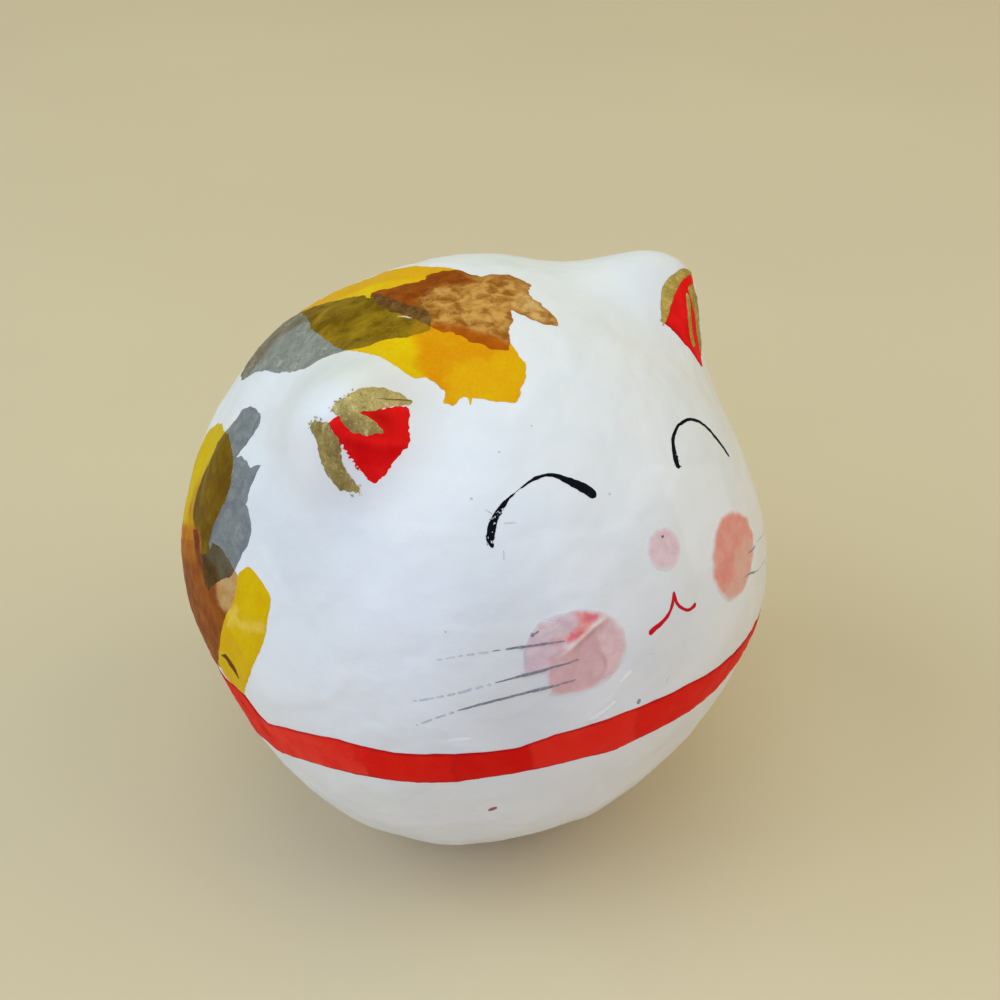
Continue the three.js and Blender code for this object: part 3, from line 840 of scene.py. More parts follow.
FLANK_BROWN = [(-3.2, -0.9), (-0.7, -0.5), (3.6, -1.9), (5.4, -2.9), (5.9, -5.4), (4.7, -9.4), (2.9, -13.0), (1.7, -18.4), (-0.4, -22.0), (-3.0, -25.0), (-14.0, -25.0), (-22.0, -19.4), (-28.5, -14.6), (-28.6, -13.0), (-23.1, -10.3),
               (-15.0, -6.3), (-11.6, -4.7), (-8.0, -4.9), (-5.2, -4.3), (-3.7, -3.2)]
FLANK_RED = [(-12.6, -3.3), (-9.6, -2.0), (-6.6, -3.8), (-5.9, -6.8), (-7.6, -6.6), (-10.1, -4.9)]
FLANK_TIP = [(6.7, 0.0), (9.3, -0.2), (13.0, -1.8), (13.2, -5.2), (13.2, -8.9), (11.9, -12.7), (8.8, -19.5), (5.6, -24.9), (3.0, -25.3), (-2.6, -25.4), (-1.2, -21.4), (0.0, -19.3), (1.1, -17.0), (2.4, -13.6), (3.6, -10.3), (4.9, -7.6), (5.5, -5.0), (5.1, -2.2)]
FLANK_PALE = [(6.4, -9.6), (8.2, -8.6), (10.4, -7.5), (12.9, -6.5), (12.9, -7.7), (10.4, -9.1), (8.4, -10.3), (6.8, -10.6)]
FLANK_PALE_2 = [(4.3, -8.7), (6.3, -7.2), (6.6, -9.6), (4.0, -11.9)]
FLANK_SLIT = [(0.5, -19.5), (2.6, -18.0), (4.4, -18.6), (5.3, -19.9), (5.9, -21.2), (3.6, -20.7), (2.1, -19.7)]
FLANK_LINE = [(-16.4, 10.2), (-17.6, 7.4), (-17.9, 4.6), (-18.0, 1.4), (-16.4, -0.2), (-14.6, -1.5), (-12.8, -2.6)]
FLANK_FRINGE = [(-20.0, 3.4), (-19.8, 0.4), (-18.4, -1.8), (-15.8, -3.2)]
FLANK_RUST = [(-9.6, -2.1), (-7.0, -3.4), (-5.7, -5.0)]

M_FYELLOW = tissue("tissue_flank_yellow", tint(196, 172, 8), tint(188, 158, 5), 5.0, (0.42, 0.66), washes=[("low", tint(166, 98, 1), tint(174, 114, 3)), ("line", tint(150, 96, 4), tint(158, 106, 5))])
M_FTIP = tissue("tissue_flank_tip", tint(198, 161, 1), tint(200, 173, 5), 5.0, (0.40, 0.64), washes=[("pale", tint(212, 184, 74), tint(206, 178, 50))])
M_FGREY = tissue("tissue_flank_grey", tint(106, 113, 115), tint(126, 132, 133), 2.2, (0.40, 0.66), crinkle=0.35, crinkle_colour=tint(150, 156, 158), crinkle_mm=1.8, bump=0.5)
M_FGREY_2 = tissue("tissue_flank_grey_double", tint(103, 109, 112), tint(118, 124, 127), 2.2, (0.42, 0.64), crinkle=0.25, crinkle_colour=tint(136, 142, 144), crinkle_mm=1.8, bump=0.5)
M_FOLIVE = tissue("tissue_flank_olive", tint(93, 68, 4), tint(116, 91, 7), 3.4, (0.40, 0.66), crinkle=0.15, crinkle_colour=tint(136, 108, 26),
                  washes=[("line", tint(84, 50, 8), tint(92, 60, 12)), ("rust", tint(164, 100, 34), tint(172, 112, 44))])
M_FBROWN = tissue("tissue_flank_brown", tint(118, 58, 13), tint(144, 82, 25), 3.2, (0.40, 0.66), crinkle=0.15, crinkle_colour=tint(164, 104, 48),
                  washes=[("bare", tint(180, 148, 98), tint(164, 122, 64)), ("high", tint(150, 84, 12), tint(156, 94, 18)), ("rust", tint(150, 84, 24), tint(160, 100, 34))])
M_FDARK = tissue("tissue_flank_dark", tint(66, 46, 18), tint(84, 62, 32), 2.4, (0.40, 0.64), crinkle=0.15, crinkle_colour=tint(104, 88, 62), washes=[("ash", tint(82, 74, 54), tint(97, 90, 70))])
M_FRED = tissue("tissue_flank_red", tint(102, 38, 16), tint(118, 54, 26), 2.0)
M_SLIT = tissue("tissue_slit", tint(84, 40, 6), tint(112, 64, 10), 1.2)

FLANK_ASH = [(-3.2, -0.7), (0.0, -0.4), (3.4, -1.5), (4.4, -2.6), (1.9, -5.1), (-1.0, -4.2), (-3.9, -3.6)]
flank_outlines = [torn(FLANK_YELLOW, 31, 0.24), torn(FLANK_GREY_TOP, 32, 0.30), torn(FLANK_GREY_LOW, 33, 0.26), torn(FLANK_BROWN, 34, 0.26), torn(FLANK_RED, 35, 0.24),
                  torn(FLANK_TIP, 36, 0.14), torn(FLANK_SLIT, 39, 0.16)]
flank_washes = {
    "low": any_of(inside([(-34.0, -12.6), (-24.1, -7.9), (-16.2, -4.1), (-11.0, -1.7), (-8.0, -1.7), (-8.0, -12.0), (-34.0, -22.0)], 1.6, 321, 0.4), stroke(FLANK_FRINGE, 1.5, (0.1, 0.6, 0.8, 0.7), 337)),
    "pale": any_of(inside(FLANK_PALE, 0.9, 323, 0.3), inside(FLANK_PALE_2, 1.2, 325, 0.3)),
    "bare": lambda p: outside(FLANK_YELLOW, 1.2, 327, 0.4)(p) * smoothstep(-6.0, -2.0, p[:, 0]),
    "high": inside([(-32.0, -12.0), (-15.0, -5.0), (-8.0, -3.0), (-8.0, -7.0), (-15.0, -10.0), (-32.0, -18.0)], 2.4, 329, 0.5),
    "ash": inside(FLANK_ASH, 1.4, 331, 0.4),
    "line": stroke(FLANK_LINE, 0.75, (0.0, 0.5, 0.8, 1.0, 1.0, 1.0, 0.7), 333),
    "rust": stroke(FLANK_RUST, 0.5, (0.6, 0.9, 0.4), 335),
}


def flank_pick(own):
    yellow, grey_top, grey_low, brown, red, tip, slit = (k in own for k in range(7))
    if tip:
        return M_SLIT if slit else M_FTIP
    if red and (brown or yellow):
        return M_FRED
    if (grey_top or grey_low) and brown:
        return M_FDARK
    if grey_top or grey_low:
        return M_FOLIVE if yellow else M_FGREY_2 if grey_top and grey_low else M_FGREY
    if brown:
        return M_FBROWN
    return M_FYELLOW if yellow else None


belongs(sheet("flank_tissue", lambda xy: from_chart(flank, xy), flank_outlines, flank_pick,
              [M_FYELLOW, M_FTIP, M_FGREY, M_FGREY_2, M_FOLIVE, M_FBROWN, M_FDARK, M_FRED, M_SLIT], step=0.7, swell=crinkles(51), washes=flank_washes), "flank_patch")

# ---------------------------------------------------------------------------
# Collar strip: flat along the band (mm round the ball, mm along its leaning axis)
# ---------------------------------------------------------------------------
COLLAR_TOP, COLLAR_BOTTOM = -11.1, -17.2
COLLAR_R = 48.0
axis = np.array([math.sin(math.radians(2)), math.sin(math.radians(12)), 0.0])
axis[2] = math.sqrt(1 - axis[0] ** 2 - axis[1] ** 2)
front = np.array([0.0, -1.0, 0.0]) - np.array([0.0, -1.0, 0.0]) @ axis * axis
front /= np.linalg.norm(front)
side = np.cross(axis, front)
side = side if side[0] > 0 else -side


def on_collar(xy):
    turn, height = xy[:, 0] / COLLAR_R, xy[:, 1]
    level = np.cos(turn)[:, None] * front + np.sin(turn)[:, None] * side
    tilt = np.arcsin(height / R)
    for _ in range(7):
        d = np.cos(tilt)[:, None] * level + np.sin(tilt)[:, None] * axis
        tilt = np.arcsin(height / skin_radius(d))
    return np.cos(tilt)[:, None] * level + np.sin(tilt)[:, None] * axis


# how far the upper and lower edges stray from the band, by degrees round from the face
EDGE = [(-126, 0.6, 0.7), (-115, 1.8, 1.8), (-104, 2.9, 2.2), (-97, 3.4, 1.0), (-91, 3.5, -1.0), (-87.5, 3.1, -2.2), (-85.5, 1.8, -2.0), (-84, 0.6, -1.6), (-82, -0.55, -1.2), (-76, 0.4, -0.5), (-70.5, 1.0, -0.1), (-64, 1.0, 0.0), (-60, 0.4, 0.0), (-53, -0.35, -0.2), (-43, -0.4, -0.6), (-31, -0.6, 0.4), (-25, 0.6, 0.55), (-19.5, 0.72, 0.7), (-13, 0.95, 0.05),
        (-6, 1.1, 0.45), (2, 1.1, 0.55), (9.5, 0.45, 0.4), (16.5, 0.1, 0.7), (24, -0.15, 0.9), (32, -0.3, 0.7), (38, -0.7, 0.5), (46, -0.9, 0.3)]
more = np.random.RandomState(5)
EDGE = [(-180 + 0.02, 0.0, 0.0)] + [(-180 + 12 + 14 * k, more.uniform(-0.4, 0.4), more.uniform(-0.4, 0.4)) for k in range(3)] + EDGE
EDGE += [(32 + 13.6 * k, more.uniform(-0.4, 0.4), more.uniform(-0.4, 0.4)) for k in range(2, 11)] + [(180 - 0.02, 0.0, 0.0)]
EDGE = np.array(EDGE)
COLLAR_ARC = math.radians(1) * COLLAR_R


def collar_edge(s, top):
    return (COLLAR_TOP if top else COLLAR_BOTTOM) + np.interp(s / COLLAR_ARC, EDGE[:, 0], EDGE[:, 1 if top else 2])


def collar_piece(a, b, lean_a=0.0, lean_b=0.0, top=0.0, bottom=0.0):
    """Outline of a length of the strip between two turns in degrees, with slanting ends; top and bottom move its edges."""
    steps = [a] + [e for e in EDGE[:, 0] if a < e < b] + [b]
    s = np.array(steps) * COLLAR_ARC
    upper = np.stack([s, collar_edge(s, True) + top], -1)
    lower = np.stack([s, collar_edge(s, False) + bottom], -1)
    upper[0, 0] += lean_a
    upper[-1, 0] += lean_b
    return np.vstack([lower, upper[::-1]])


def strip_outline(points, seed):
    p = along(points, 0.6)
    return p + 0.045 * np.stack([noise2(p, 1.6, seed), noise2(p, 1.6, seed + 1)], -1)


DEEP_RED = (tint(198, 15, 9), tint(204, 21, 13))
PALE_RED = (tint(220, 54, 42), tint(214, 40, 28))
M_RED = tissue("strip_red", tint(210, 25, 14), tint(213, 31, 19), 5.0, (0.40, 0.62), grain=0.03, rough=(0.40, 0.52), washes=[("deep", *DEEP_RED), ("pale", *PALE_RED), ("edge", tint(140, 14, 16), tint(156, 17, 15))])
# the lengths the strip is made of, by degrees round from the face: start, end, and how deep or pale each is
LENGTHS = [(-180, -150, 0.0, 0.3), (-150, -127, 0.0, 0.8), (-127, -104, 0.5, 0.0), (-104, -83.4, 0.5, 0.0), (-83.4, -60.5, 0.0, 1.0), (-60.5, -43.2, 0.2, 0.0), (-43.2, -29.4, 0.9, 0.0), (-29.4, -9, 0.0, 0.55),
           (-9, 35, 0.15, 0.0), (35, 59, 0.0, 0.7), (59, 84, 0.3, 0.0), (84, 108, 0.0, 0.5), (108, 132, 0.6, 0.0), (132, 157, 0.0, 0.6), (157, 180, 0.3, 0.0)]


def collar_wash(which):
    """How deep (2) or pale (3) the strip is at a place, with slightly wavy, slanting joins between its lengths."""
    def wash(p):
        s = p[:, 0] / COLLAR_ARC + 0.10 * p[:, 1] + 0.9 * noise2(p, 2.6, 340) + 0.35 * noise2(p, 0.9, 341)
        v = np.full(len(p), float(LENGTHS[0][which]))
        for a, b in zip(LENGTHS[:-1], LENGTHS[1:]):
            v += (b[which] - a[which]) * smoothstep(b[0] - 1.4 - 0.35, b[0] - 1.4 + 0.35, s)
        return v * (1 + 0.15 * noise2(p, 4.0, 342))
    return wash


def collar_edge_shade_and_joins(p):
    """Darker lines along the strip's edges, painted shade where the paper's thick edge falls, and, fainter, dark joins
    where one length overlaps the next.
    """
    near = np.minimum(collar_edge(p[:, 0], True) - p[:, 1], 1.6 * (p[:, 1] - collar_edge(p[:, 0], False)))
    dark = 0.85 * smoothstep(0.42, 0.08, near)
    s = p[:, 0] / COLLAR_ARC + 0.10 * p[:, 1] + 1.4 + 0.9 * noise2(p, 2.6, 340)
    for start, _, _, _ in LENGTHS[1:]:
        dark = np.maximum(dark, 0.35 * np.exp(-(((s - start) / 0.45) ** 2)) * (0.6 + 0.6 * noise2(p, 2.0, 344)))
    return dark * (0.85 + 0.3 * noise2(p, 5.0, 343))


collar_outlines = [strip_outline(collar_piece(-180 + 0.02, 180 - 0.02), 61)]
belongs(sheet("collar_band", on_collar, collar_outlines, lambda own: M_RED, [M_RED], step=0.45, lift=0.15, layer=0.035, edge=0.09,
              swell=lambda xy: 0.03 * noise2(xy, 2.6, 8), washes={"deep": collar_wash(2), "pale": collar_wash(3), "edge": collar_edge_shade_and_joins}), "collar_strip")

# ---------------------------------------------------------------------------
# Ears: red linings and gold strokes (mm about each ear's peak, x to the face, y up)
# ---------------------------------------------------------------------------
def ear_points(points):
    return np.asarray(points, float)


LINING_R = [(0.5, -1.8), (0.9, -1.1), (1.7, -0.3), (3.0, 1.2), (4.3, 2.5), (5.5, 4.0), (6.6, 5.1), (7.7, 2.8), (8.4, 0.9), (8.7, 0.5), (8.6, -0.3), (8.1, -1.3), (7.8, -2.5), (7.4, -4.0), (7.0, -5.1), (6.6, -5.8), (6.0, -6.1), (5.4, -6.0),
            (4.9, -5.4), (4.2, -5.1), (3.7, -4.6), (3.1, -4.5), (2.7, -3.9), (2.0, -3.6), (1.4, -2.5)]
FOLD_SHADE_R = [(2.2, -2.6), (4.6, -2.0), (6.2, -1.7), (8.9, 0.1), (8.1, -1.4), (7.1, -2.8), (6.1, -4.2), (4.7, -4.5), (3.2, -3.9)]
CREASE_R = ear_points([(2.2, -2.6), (4.6, -2.0), (6.2, -1.7), (8.7, 0.1)])
SHADE_R, SHADE_L = [(3.6, 1.1), (4.6, 1.6), (5.4, 1.7), (6.4, 0.3)], [(11.0, 3.3), (11.8, 1.3), (12.5, -1.1), (13.1, -3.9), (13.4, -6.2)]
GOLD_R_LEAF = [(0.2, -0.3), (0.9, 1.4), (1.5, 2.6), (1.9, 3.9), (2.8, 5.0), (3.7, 5.7), (4.8, 6.1), (5.8, 6.3), (6.4, 6.2), (6.9, 6.1), (6.7, 5.4), (5.5, 4.0), (4.4, 2.4), (3.3, 1.3), (3.2, 0.9), (4.2, 0.9), (5.1, 0.7), (5.7, 0.5), (5.8, 0.1),
               (5.1, -0.7), (4.3, -1.3), (3.3, -1.6), (2.5, -1.3), (1.9, -1.0), (1.5, -0.5)]
GOLD_R_STEM = [(-2.2, -2.4), (-1.2, -1.8), (-0.6, -1.9), (0.3, -1.7), (1.0, -2.0), (1.7, -2.8), (2.2, -3.5), (2.1, -4.1), (2.4, -5.0), (2.9, -5.7), (3.6, -6.4), (4.1, -6.8), (4.6, -7.1), (4.4, -8.1), (3.2, -8.2), (2.0, -8.3), (0.7, -7.6), (0.1, -6.9), (-0.4, -5.8),
               (-0.8, -4.8), (-1.1, -3.8), (-1.5, -3.0)]
LINING_L = [(10.9, 3.5), (9.7, 3.2), (8.0, 2.8), (6.4, 2.2), (4.9, 1.4), (3.4, 0.2), (1.8, -2.0), (3.6, -2.2), (4.9, -3.3), (6.6, -4.9), (8.6, -6.3), (12.7, -7.1), (13.5, -6.3), (13.1, -3.9), (12.5, -1.1), (11.8, 1.3)]
GOLD_L_LEAF = [(10.6, 4.0), (8.6, 4.2), (6.3, 4.1), (4.8, 3.2), (3.4, 1.6), (2.0, -0.5), (1.2, -2.0), (2.0, -1.9), (3.8, 0.1), (5.1, 1.1), (6.4, 1.8), (8.2, 2.4), (10.1, 2.9), (11.0, 3.4)]
GOLD_L_EDGE = [(5.1, -0.4), (3.9, -1.4), (4.6, -3.1), (6.1, -4.6), (8.0, -6.1), (9.7, -7.0), (11.0, -6.0), (9.9, -5.3), (8.4, -4.0), (7.2, -2.7), (6.2, -1.5)]
GOLD_L_STRIP = [(5.9, -0.1), (5.9, -1.0), (7.9, -1.6), (10.0, -2.8), (11.3, -4.1), (12.1, -3.3), (10.7, -2.2), (8.4, -0.9)]

# painted shade on the linings: the first wash darkens the part below the crease, the second the red under the gold
# leaf, beside the crease and along the left lining's lower edge
M_LINING = tissue("lining_red", tint(211, 17, 17), tint(219, 25, 24), 3.0, (0.42, 0.62), grain=0.03, rough=(0.36, 0.48), washes=[("fold_shade", tint(198, 9, 13), tint(204, 13, 17)), ("shade", tint(172, 10, 8), tint(180, 14, 10))])
M_GOLD = gold_paint("gold_paint", tint(182, 171, 110), tint(156, 143, 88), tint(208, 200, 146), (tint(128, 112, 63), tint(160, 145, 87)))
M_GOLD_DEEP = gold_paint("gold_paint_thick", tint(158, 143, 86), tint(124, 108, 60), tint(186, 174, 118))
M_GOLD_LEFT = gold_paint("gold_paint_left", tint(172, 152, 75), tint(141, 121, 53), tint(191, 173, 100))
M_GOLD_DARK = ink("gold_shadow", tint(112, 96, 52), tint(140, 124, 72))

right_ear, left_ear = EAR_CHARTS


def lining_swell(line):
    def swell(xy):
        h = 0.05 * noise2(xy, 3.0, 77)
        if line is not None:
            away, where = to_line(xy, line)
            h = h + 0.26 * np.exp(-((away / 0.55) ** 2)) * np.sqrt(np.clip(4 * where * (1 - where), 0.1, 1))
        return h
    return swell


notch_r = np.random.RandomState(9)
notches = []
for t in np.linspace(0.05, 0.95, 11):
    a = np.array([1.4, -2.7]) + t * np.array([4.0, -3.4]) + notch_r.normal(0, 0.09, 2)
    notches.append(blob(a[0], a[1], notch_r.uniform(0.12, 0.30), notch_r.randint(900), 8, notch_r.uniform(0.35, 0.7), notch_r.uniform(0.2, 1.2)))
belongs(sheet("ear_lining_right_paper", lambda xy: from_chart(right_ear, xy), [torn(ear_points(LINING_R), 101, 0.26, 0.2, waves=(1.0, 0.42))] + notches,
              lambda own: M_LINING if own == (0,) else None, [M_LINING], step=0.5, lift=0.12, swell=lining_swell(CREASE_R),
              washes={"fold_shade": inside(FOLD_SHADE_R, 1.8, 395, 0.2), "shade": any_of(stroke(SHADE_R, 0.9, (0.5, 0.8, 0.8, 0.2), 397), stroke(CREASE_R + np.array([0.0, -0.5]), 0.4, (0.5, 0.4, 0.3, 0.1), 398))}), "ear_lining_right")
belongs(sheet("ear_lining_left_paper", lambda xy: from_chart(left_ear, xy), [torn(ear_points(LINING_L), 103, 0.16, 0.2, waves=(1.0, 0.42))],
              lambda own: M_LINING, [M_LINING], step=0.5, lift=0.12, swell=lining_swell(None),
              washes={"fold_shade": lambda p: np.zeros(len(p)), "shade": stroke(SHADE_L, 0.4, (0.8, 0.8, 0.6, 0.6, 0.5), 399)}), "ear_lining_left")


def bristles(points, seed, count, reach, width=0.12):
    """Loose ends of brush strokes that leave an outline near its first points."""
    r = np.random.RandomState(seed)
    out = []
    p = np.asarray(points, float)
    for _ in range(count):
        k = r.randint(len(p))
        turn = r.uniform(0, 2 * math.pi)
        a = p[k] + r.normal(0, reach * 0.45, 2)
        out.append(blob(a[0], a[1], r.uniform(0.5, 1.6) * width, r.randint(1000), 7, r.uniform(0.35, 0.9), turn))
    return out


def paint_swell(seed):
    return lambda xy: 0.07 * noise2(xy, 0.9, seed) + 0.05 * noise2(xy, 0.45, seed + 1) + 0.03


GOLD_LINE = ear_points([(3.8, 3.7), (4.8, 4.5), (6.7, 6.2)])
gold_right = [torn(ear_points(GOLD_R_LEAF), 111, 0.22, 0.2, waves=(0.8, 0.35)), torn(ear_points(GOLD_R_STEM), 112, 0.32, 0.2, waves=(0.7, 0.35)), band(GOLD_LINE, [0.05, 0.16, 0.26], 113, 0.03)]
GOLD_LOBE = [(0.9, -1.8), (0.8, 0.0), (2.3, 1.0), (3.5, 1.2), (6.5, 1.1), (6.7, -0.3), (4.4, -2.5), (2.7, -2.7)]
gold_right += bristles(ear_points([(0.2, -0.2), (0.6, 0.8), (1.0, 1.7), (1.3, 2.3), (1.8, 3.2)]), 114, 26, 0.5)
gold_right += bristles(ear_points([(-2.1, -2.5), (-1.2, -1.6), (-0.6, -1.4), (-1.7, -2.9), (-2.3, -2.0)]), 115, 22, 0.55)
gold_right += bristles(ear_points([(4.5, -7.3), (4.7, -7.9), (3.8, -8.5)]), 116, 10, 0.35)


def gold_pick(own):
    if 2 in own:
        return M_GOLD_DARK
    return M_GOLD_DEEP if 1 in own else M_GOLD


def on_lining(chart, outline):
    shape = ear_points(outline)
    return lambda d: 0.13 * in_outline(to_chart(chart, d), shape)


belongs(sheet("gold_right_ear", lambda xy: from_chart(right_ear, xy), gold_right, gold_pick, [M_GOLD, M_GOLD_DEEP, M_GOLD_DARK],
              step=0.4, lift=0.16, layer=0.0, edge=0.06, swell=paint_swell(120), under=on_lining(right_ear, LINING_R), washes={"thick": inside(GOLD_LOBE, 2.2, 393, 0.8)}))
gold_left = [torn(ear_points(GOLD_L_LEAF), 121, 0.14, 0.25, waves=(0.9, 0.4)), torn(ear_points(GOLD_L_EDGE), 122, 0.14, 0.25, waves=(0.9, 0.4)), torn(ear_points(GOLD_L_STRIP), 123, 0.12, 0.25, waves=(0.9, 0.4))]
gold_left += bristles(ear_points([(10.6, 3.9), (11.2, 3.6), (10.8, -6.4)]), 124, 12, 0.35)
belongs(sheet("gold_left_ear", lambda xy: from_chart(left_ear, xy), gold_left, lambda own: M_GOLD_LEFT, [M_GOLD_LEFT],
              step=0.4, lift=0.16, layer=0.0, edge=0.06, swell=paint_swell(130), under=on_lining(left_ear, LINING_L)))

# ---------------------------------------------------------------------------
# Cheeks and nose
# ---------------------------------------------------------------------------
CHEEK_R_AT, CHEEK_L_AT, NOSE_AT = (-20.5, 15.0), (20.5, 17.7), (0.1, 27.3)
cheek_right, cheek_left, nose_chart = skin_chart(*CHEEK_R_AT), skin_chart(*CHEEK_L_AT), skin_chart(*NOSE_AT)
CHEEK_A = [(-7.4, 2.1), (-6.5, 3.8), (-5.2, 5.1), (-3.6, 5.8), (-1.8, 6.0), (0.2, 6.2), (2.1, 5.9), (4.1, 5.1), (5.9, 3.8), (7.1, 1.9), (7.5, -0.5), (7.2, -2.5), (6.2, -4.2), (4.5, -5.5), (2.4, -6.3), (0.3, -6.6), (-2.2, -6.4),
           (-4.2, -5.7), (-4.5, -4.1), (-4.4, -2.2), (-5.9, -2.1), (-7.6, -1.9), (-7.8, -0.1)]
CHEEK_B = [(-4.2, -5.7), (-4.5, -3.6), (-4.1, 0.0), (-3.1, 0.6), (-0.3, 1.1), (0.8, 2.6), (2.9, 3.7), (5.1, 3.9), (4.2, 2.7), (2.9, 1.2), (3.7, -0.3), (4.5, -2.3), (4.2, -4.2), (3.5, -5.6), (1.9, -6.3), (-0.2, -6.5), (-2.2, -6.4)]
CHEEK_RED = [(0.4, 6.0), (2.1, 5.8), (3.9, 5.0), (3.3, 4.3), (2.1, 3.4), (0.8, 2.4), (-0.5, 1.8), (-1.5, 2.0), (-0.9, 3.0), (-0.1, 3.9), (0.5, 4.8)]
CHEEK_RED_DEEP = [(1.6, 5.5), (3.4, 5.0), (3.3, 4.5), (2.2, 4.0), (1.5, 4.4)]
CHEEK_RED_DEEP_2 = [(-0.6, 3.1), (0.9, 3.1), (1.2, 2.8), (0.0, 2.1), (-1.2, 1.9), (-1.3, 2.4)]
CHEEK_TAIL = [(-3.9, 2.6), (-1.4, 2.7), (-0.8, 2.0), (-1.8, 1.8), (-3.9, 2.1)]
CHEEK_RIDGE = [(4.5, 4.3), (2.9, 3.6), (1.3, 2.5), (-0.3, 1.4), (-1.6, 0.5), (-3.0, -0.4)]
CHEEK_SHADE = [(3.9, 3.4), (2.3, 2.4), (0.7, 1.2), (-0.4, 0.4)]
CHEEK_FOLD = [(-2.8, 1.3), (-1.3, 1.3), (-0.4, 1.35)]
CHEEK_SWIRL = [(2.6, -0.3), (3.9, -1.3), (4.4, -2.6), (4.3, -3.9), (3.5, -4.8)]
CHEEK_FOLD_2 = [(-6.6, 3.2), (-5.2, 4.0), (-3.6, 4.2), (-1.8, 4.6)]
CHEEK_LEFT = [(1.6, 6.4), (-1.8, 7.0), (-4.5, 5.8), (-6.7, 3.2), (-7.6, -0.1), (-6.8, -3.0), (-4.7, -5.8), (-0.8, -6.4), (2.7, -5.5), (5.4, -3.4), (6.9, -0.6), (5.9, 3.2)]

beside_face = (200, 206, 212)
# the cheek paper's thin rim fades to the white beside it, made 8% darker: painted shade that cancels the light its
# sloping edge catches
SHADED_WHITE_BESIDE = times(tint(*beside_face, beside_face), 0.92)
M_CHEEK = tissue("cheek_pink", tint(182, 161, 170, beside_face), tint(192, 175, 182, beside_face), 2.2, (0.38, 0.66), crinkle=0.12, crinkle_colour=tint(208, 190, 196, beside_face), crinkle_mm=2.0, grain=0.02,
                 washes=[("warm", tint(190, 161, 165, beside_face), tint(202, 175, 178, beside_face)), ("double", tint(183, 150, 153, beside_face), tint(193, 160, 164, beside_face)),
                         ("coral", tint(198, 126, 126, beside_face), tint(205, 148, 143, beside_face)), ("coral_deep", tint(196, 96, 106, beside_face), tint(199, 112, 118, beside_face)),
                         ("shade", tint(172, 130, 128, beside_face), tint(176, 138, 136, beside_face)), ("ridge_highlight", tint(222, 186, 180, beside_face), tint(228, 200, 192, beside_face)),
                         ("thin", SHADED_WHITE_BESIDE, SHADED_WHITE_BESIDE)])
by_left = (208, 203, 198)
WHITE_BY_LEFT = times(tint(*by_left, by_left), 0.95)
M_CHEEK_L = tissue("cheek_salmon", tint(203, 128, 110, by_left), tint(205, 142, 125, by_left), 2.4, (0.36, 0.68), grain=0.05,
                   washes=[("tan", tint(200, 146, 126, by_left), tint(203, 158, 142, by_left)), ("coral", tint(207, 116, 103, by_left), tint(206, 124, 112, by_left)), ("thin", WHITE_BY_LEFT, WHITE_BY_LEFT)])
WHITE_BY_NOSE = times(tint(203, 206, 209, (203, 206, 209)), 0.945)
M_NOSE = tissue("nose_pink", tint(194, 167, 172, (203, 206, 209)), tint(202, 180, 184, (203, 206, 209)), 1.5, (0.38, 0.66), grain=0.03, washes=[("thin", WHITE_BY_NOSE, WHITE_BY_NOSE)])


def ridge_swell(line, height, width, seed):
    line = np.asarray(line, float)

    def swell(xy):
        away, where = to_line(xy, line)
        return height * np.exp(-((away / width) ** 2)) * np.sqrt(np.clip(4 * where * (1 - where), 0.05, 1)) + 0.03 * noise2(xy, 2.2, seed)
    return swell


CHEEK_WARM = [(2.4, 5.6), (8.5, 5.0), (9.0, -3.0), (5.0, -7.0), (2.0, -2.0), (3.0, 1.4), (5.2, 4.2)]
cheek_washes = {
    "warm": inside(CHEEK_WARM, 2.4, 351, 0.4),
    "double": inside(CHEEK_B, 0.9, 353, 0.3),
    "coral": any_of(inside(CHEEK_RED, 0.8, 355, 0.3), lambda p: 0.5 * inside(CHEEK_TAIL, 0.8, 357, 0.3)(p)),
    "coral_deep": any_of(inside(CHEEK_RED_DEEP, 0.8, 359, 0.2), inside(CHEEK_RED_DEEP_2, 0.8, 361, 0.2)),
    "shade": any_of(stroke(CHEEK_SHADE, 0.42, (0.4, 0.9, 0.9, 0.4), 363), stroke(CHEEK_SWIRL, 0.24, (0.1, 0.6, 0.7, 0.6, 0.1), 365)),
    # painted highlight: cream along the crease ridge and the two small folds
    "ridge_highlight": any_of(stroke(CHEEK_RIDGE, 0.27, (0.8, 1.0, 0.95, 0.8, 0.65, 0.5, 0.3), 367), stroke(CHEEK_FOLD, 0.2, (0.1, 0.5, 0.5), 369), stroke(CHEEK_FOLD_2, 0.25, (0.0, 0.3, 0.4, 0.0), 371)),
    "thin": lambda p: 0.94 * smoothstep(0.55, -0.45, depth_in(p, CHEEK_A) + 0.22 * noise2(p, 1.3, 373)),
}
belongs(sheet("cheek_right_tissue", lambda xy: from_chart(cheek_right, xy), [torn(1.05 * np.array(CHEEK_A), 141, 0.14, 0.25)], lambda own: M_CHEEK, [M_CHEEK],
              step=0.26, lift=0.08, edge=0.03, swell=ridge_swell(CHEEK_RIDGE, 0.18, 0.40, 5), washes=cheek_washes), "cheek_right")
CHEEK_LEFT_CORAL = [(-6.9, 0.8), (-4.3, 0.4), (-2.5, -1.6), (-3.4, -2.5), (-5.4, -2.1), (-7.0, -0.8)]
CHEEK_LEFT_TAN = [(-0.6, 0.7), (4.5, 0.2), (7.0, -1.5), (5.4, -4.0), (2.5, -6.2), (-1.4, -7.0), (-4.8, -6.4), (-6.8, -3.6), (-5.2, -3.0), (-3.2, -3.2), (-2.1, -2.0), (-1.8, -0.8)]
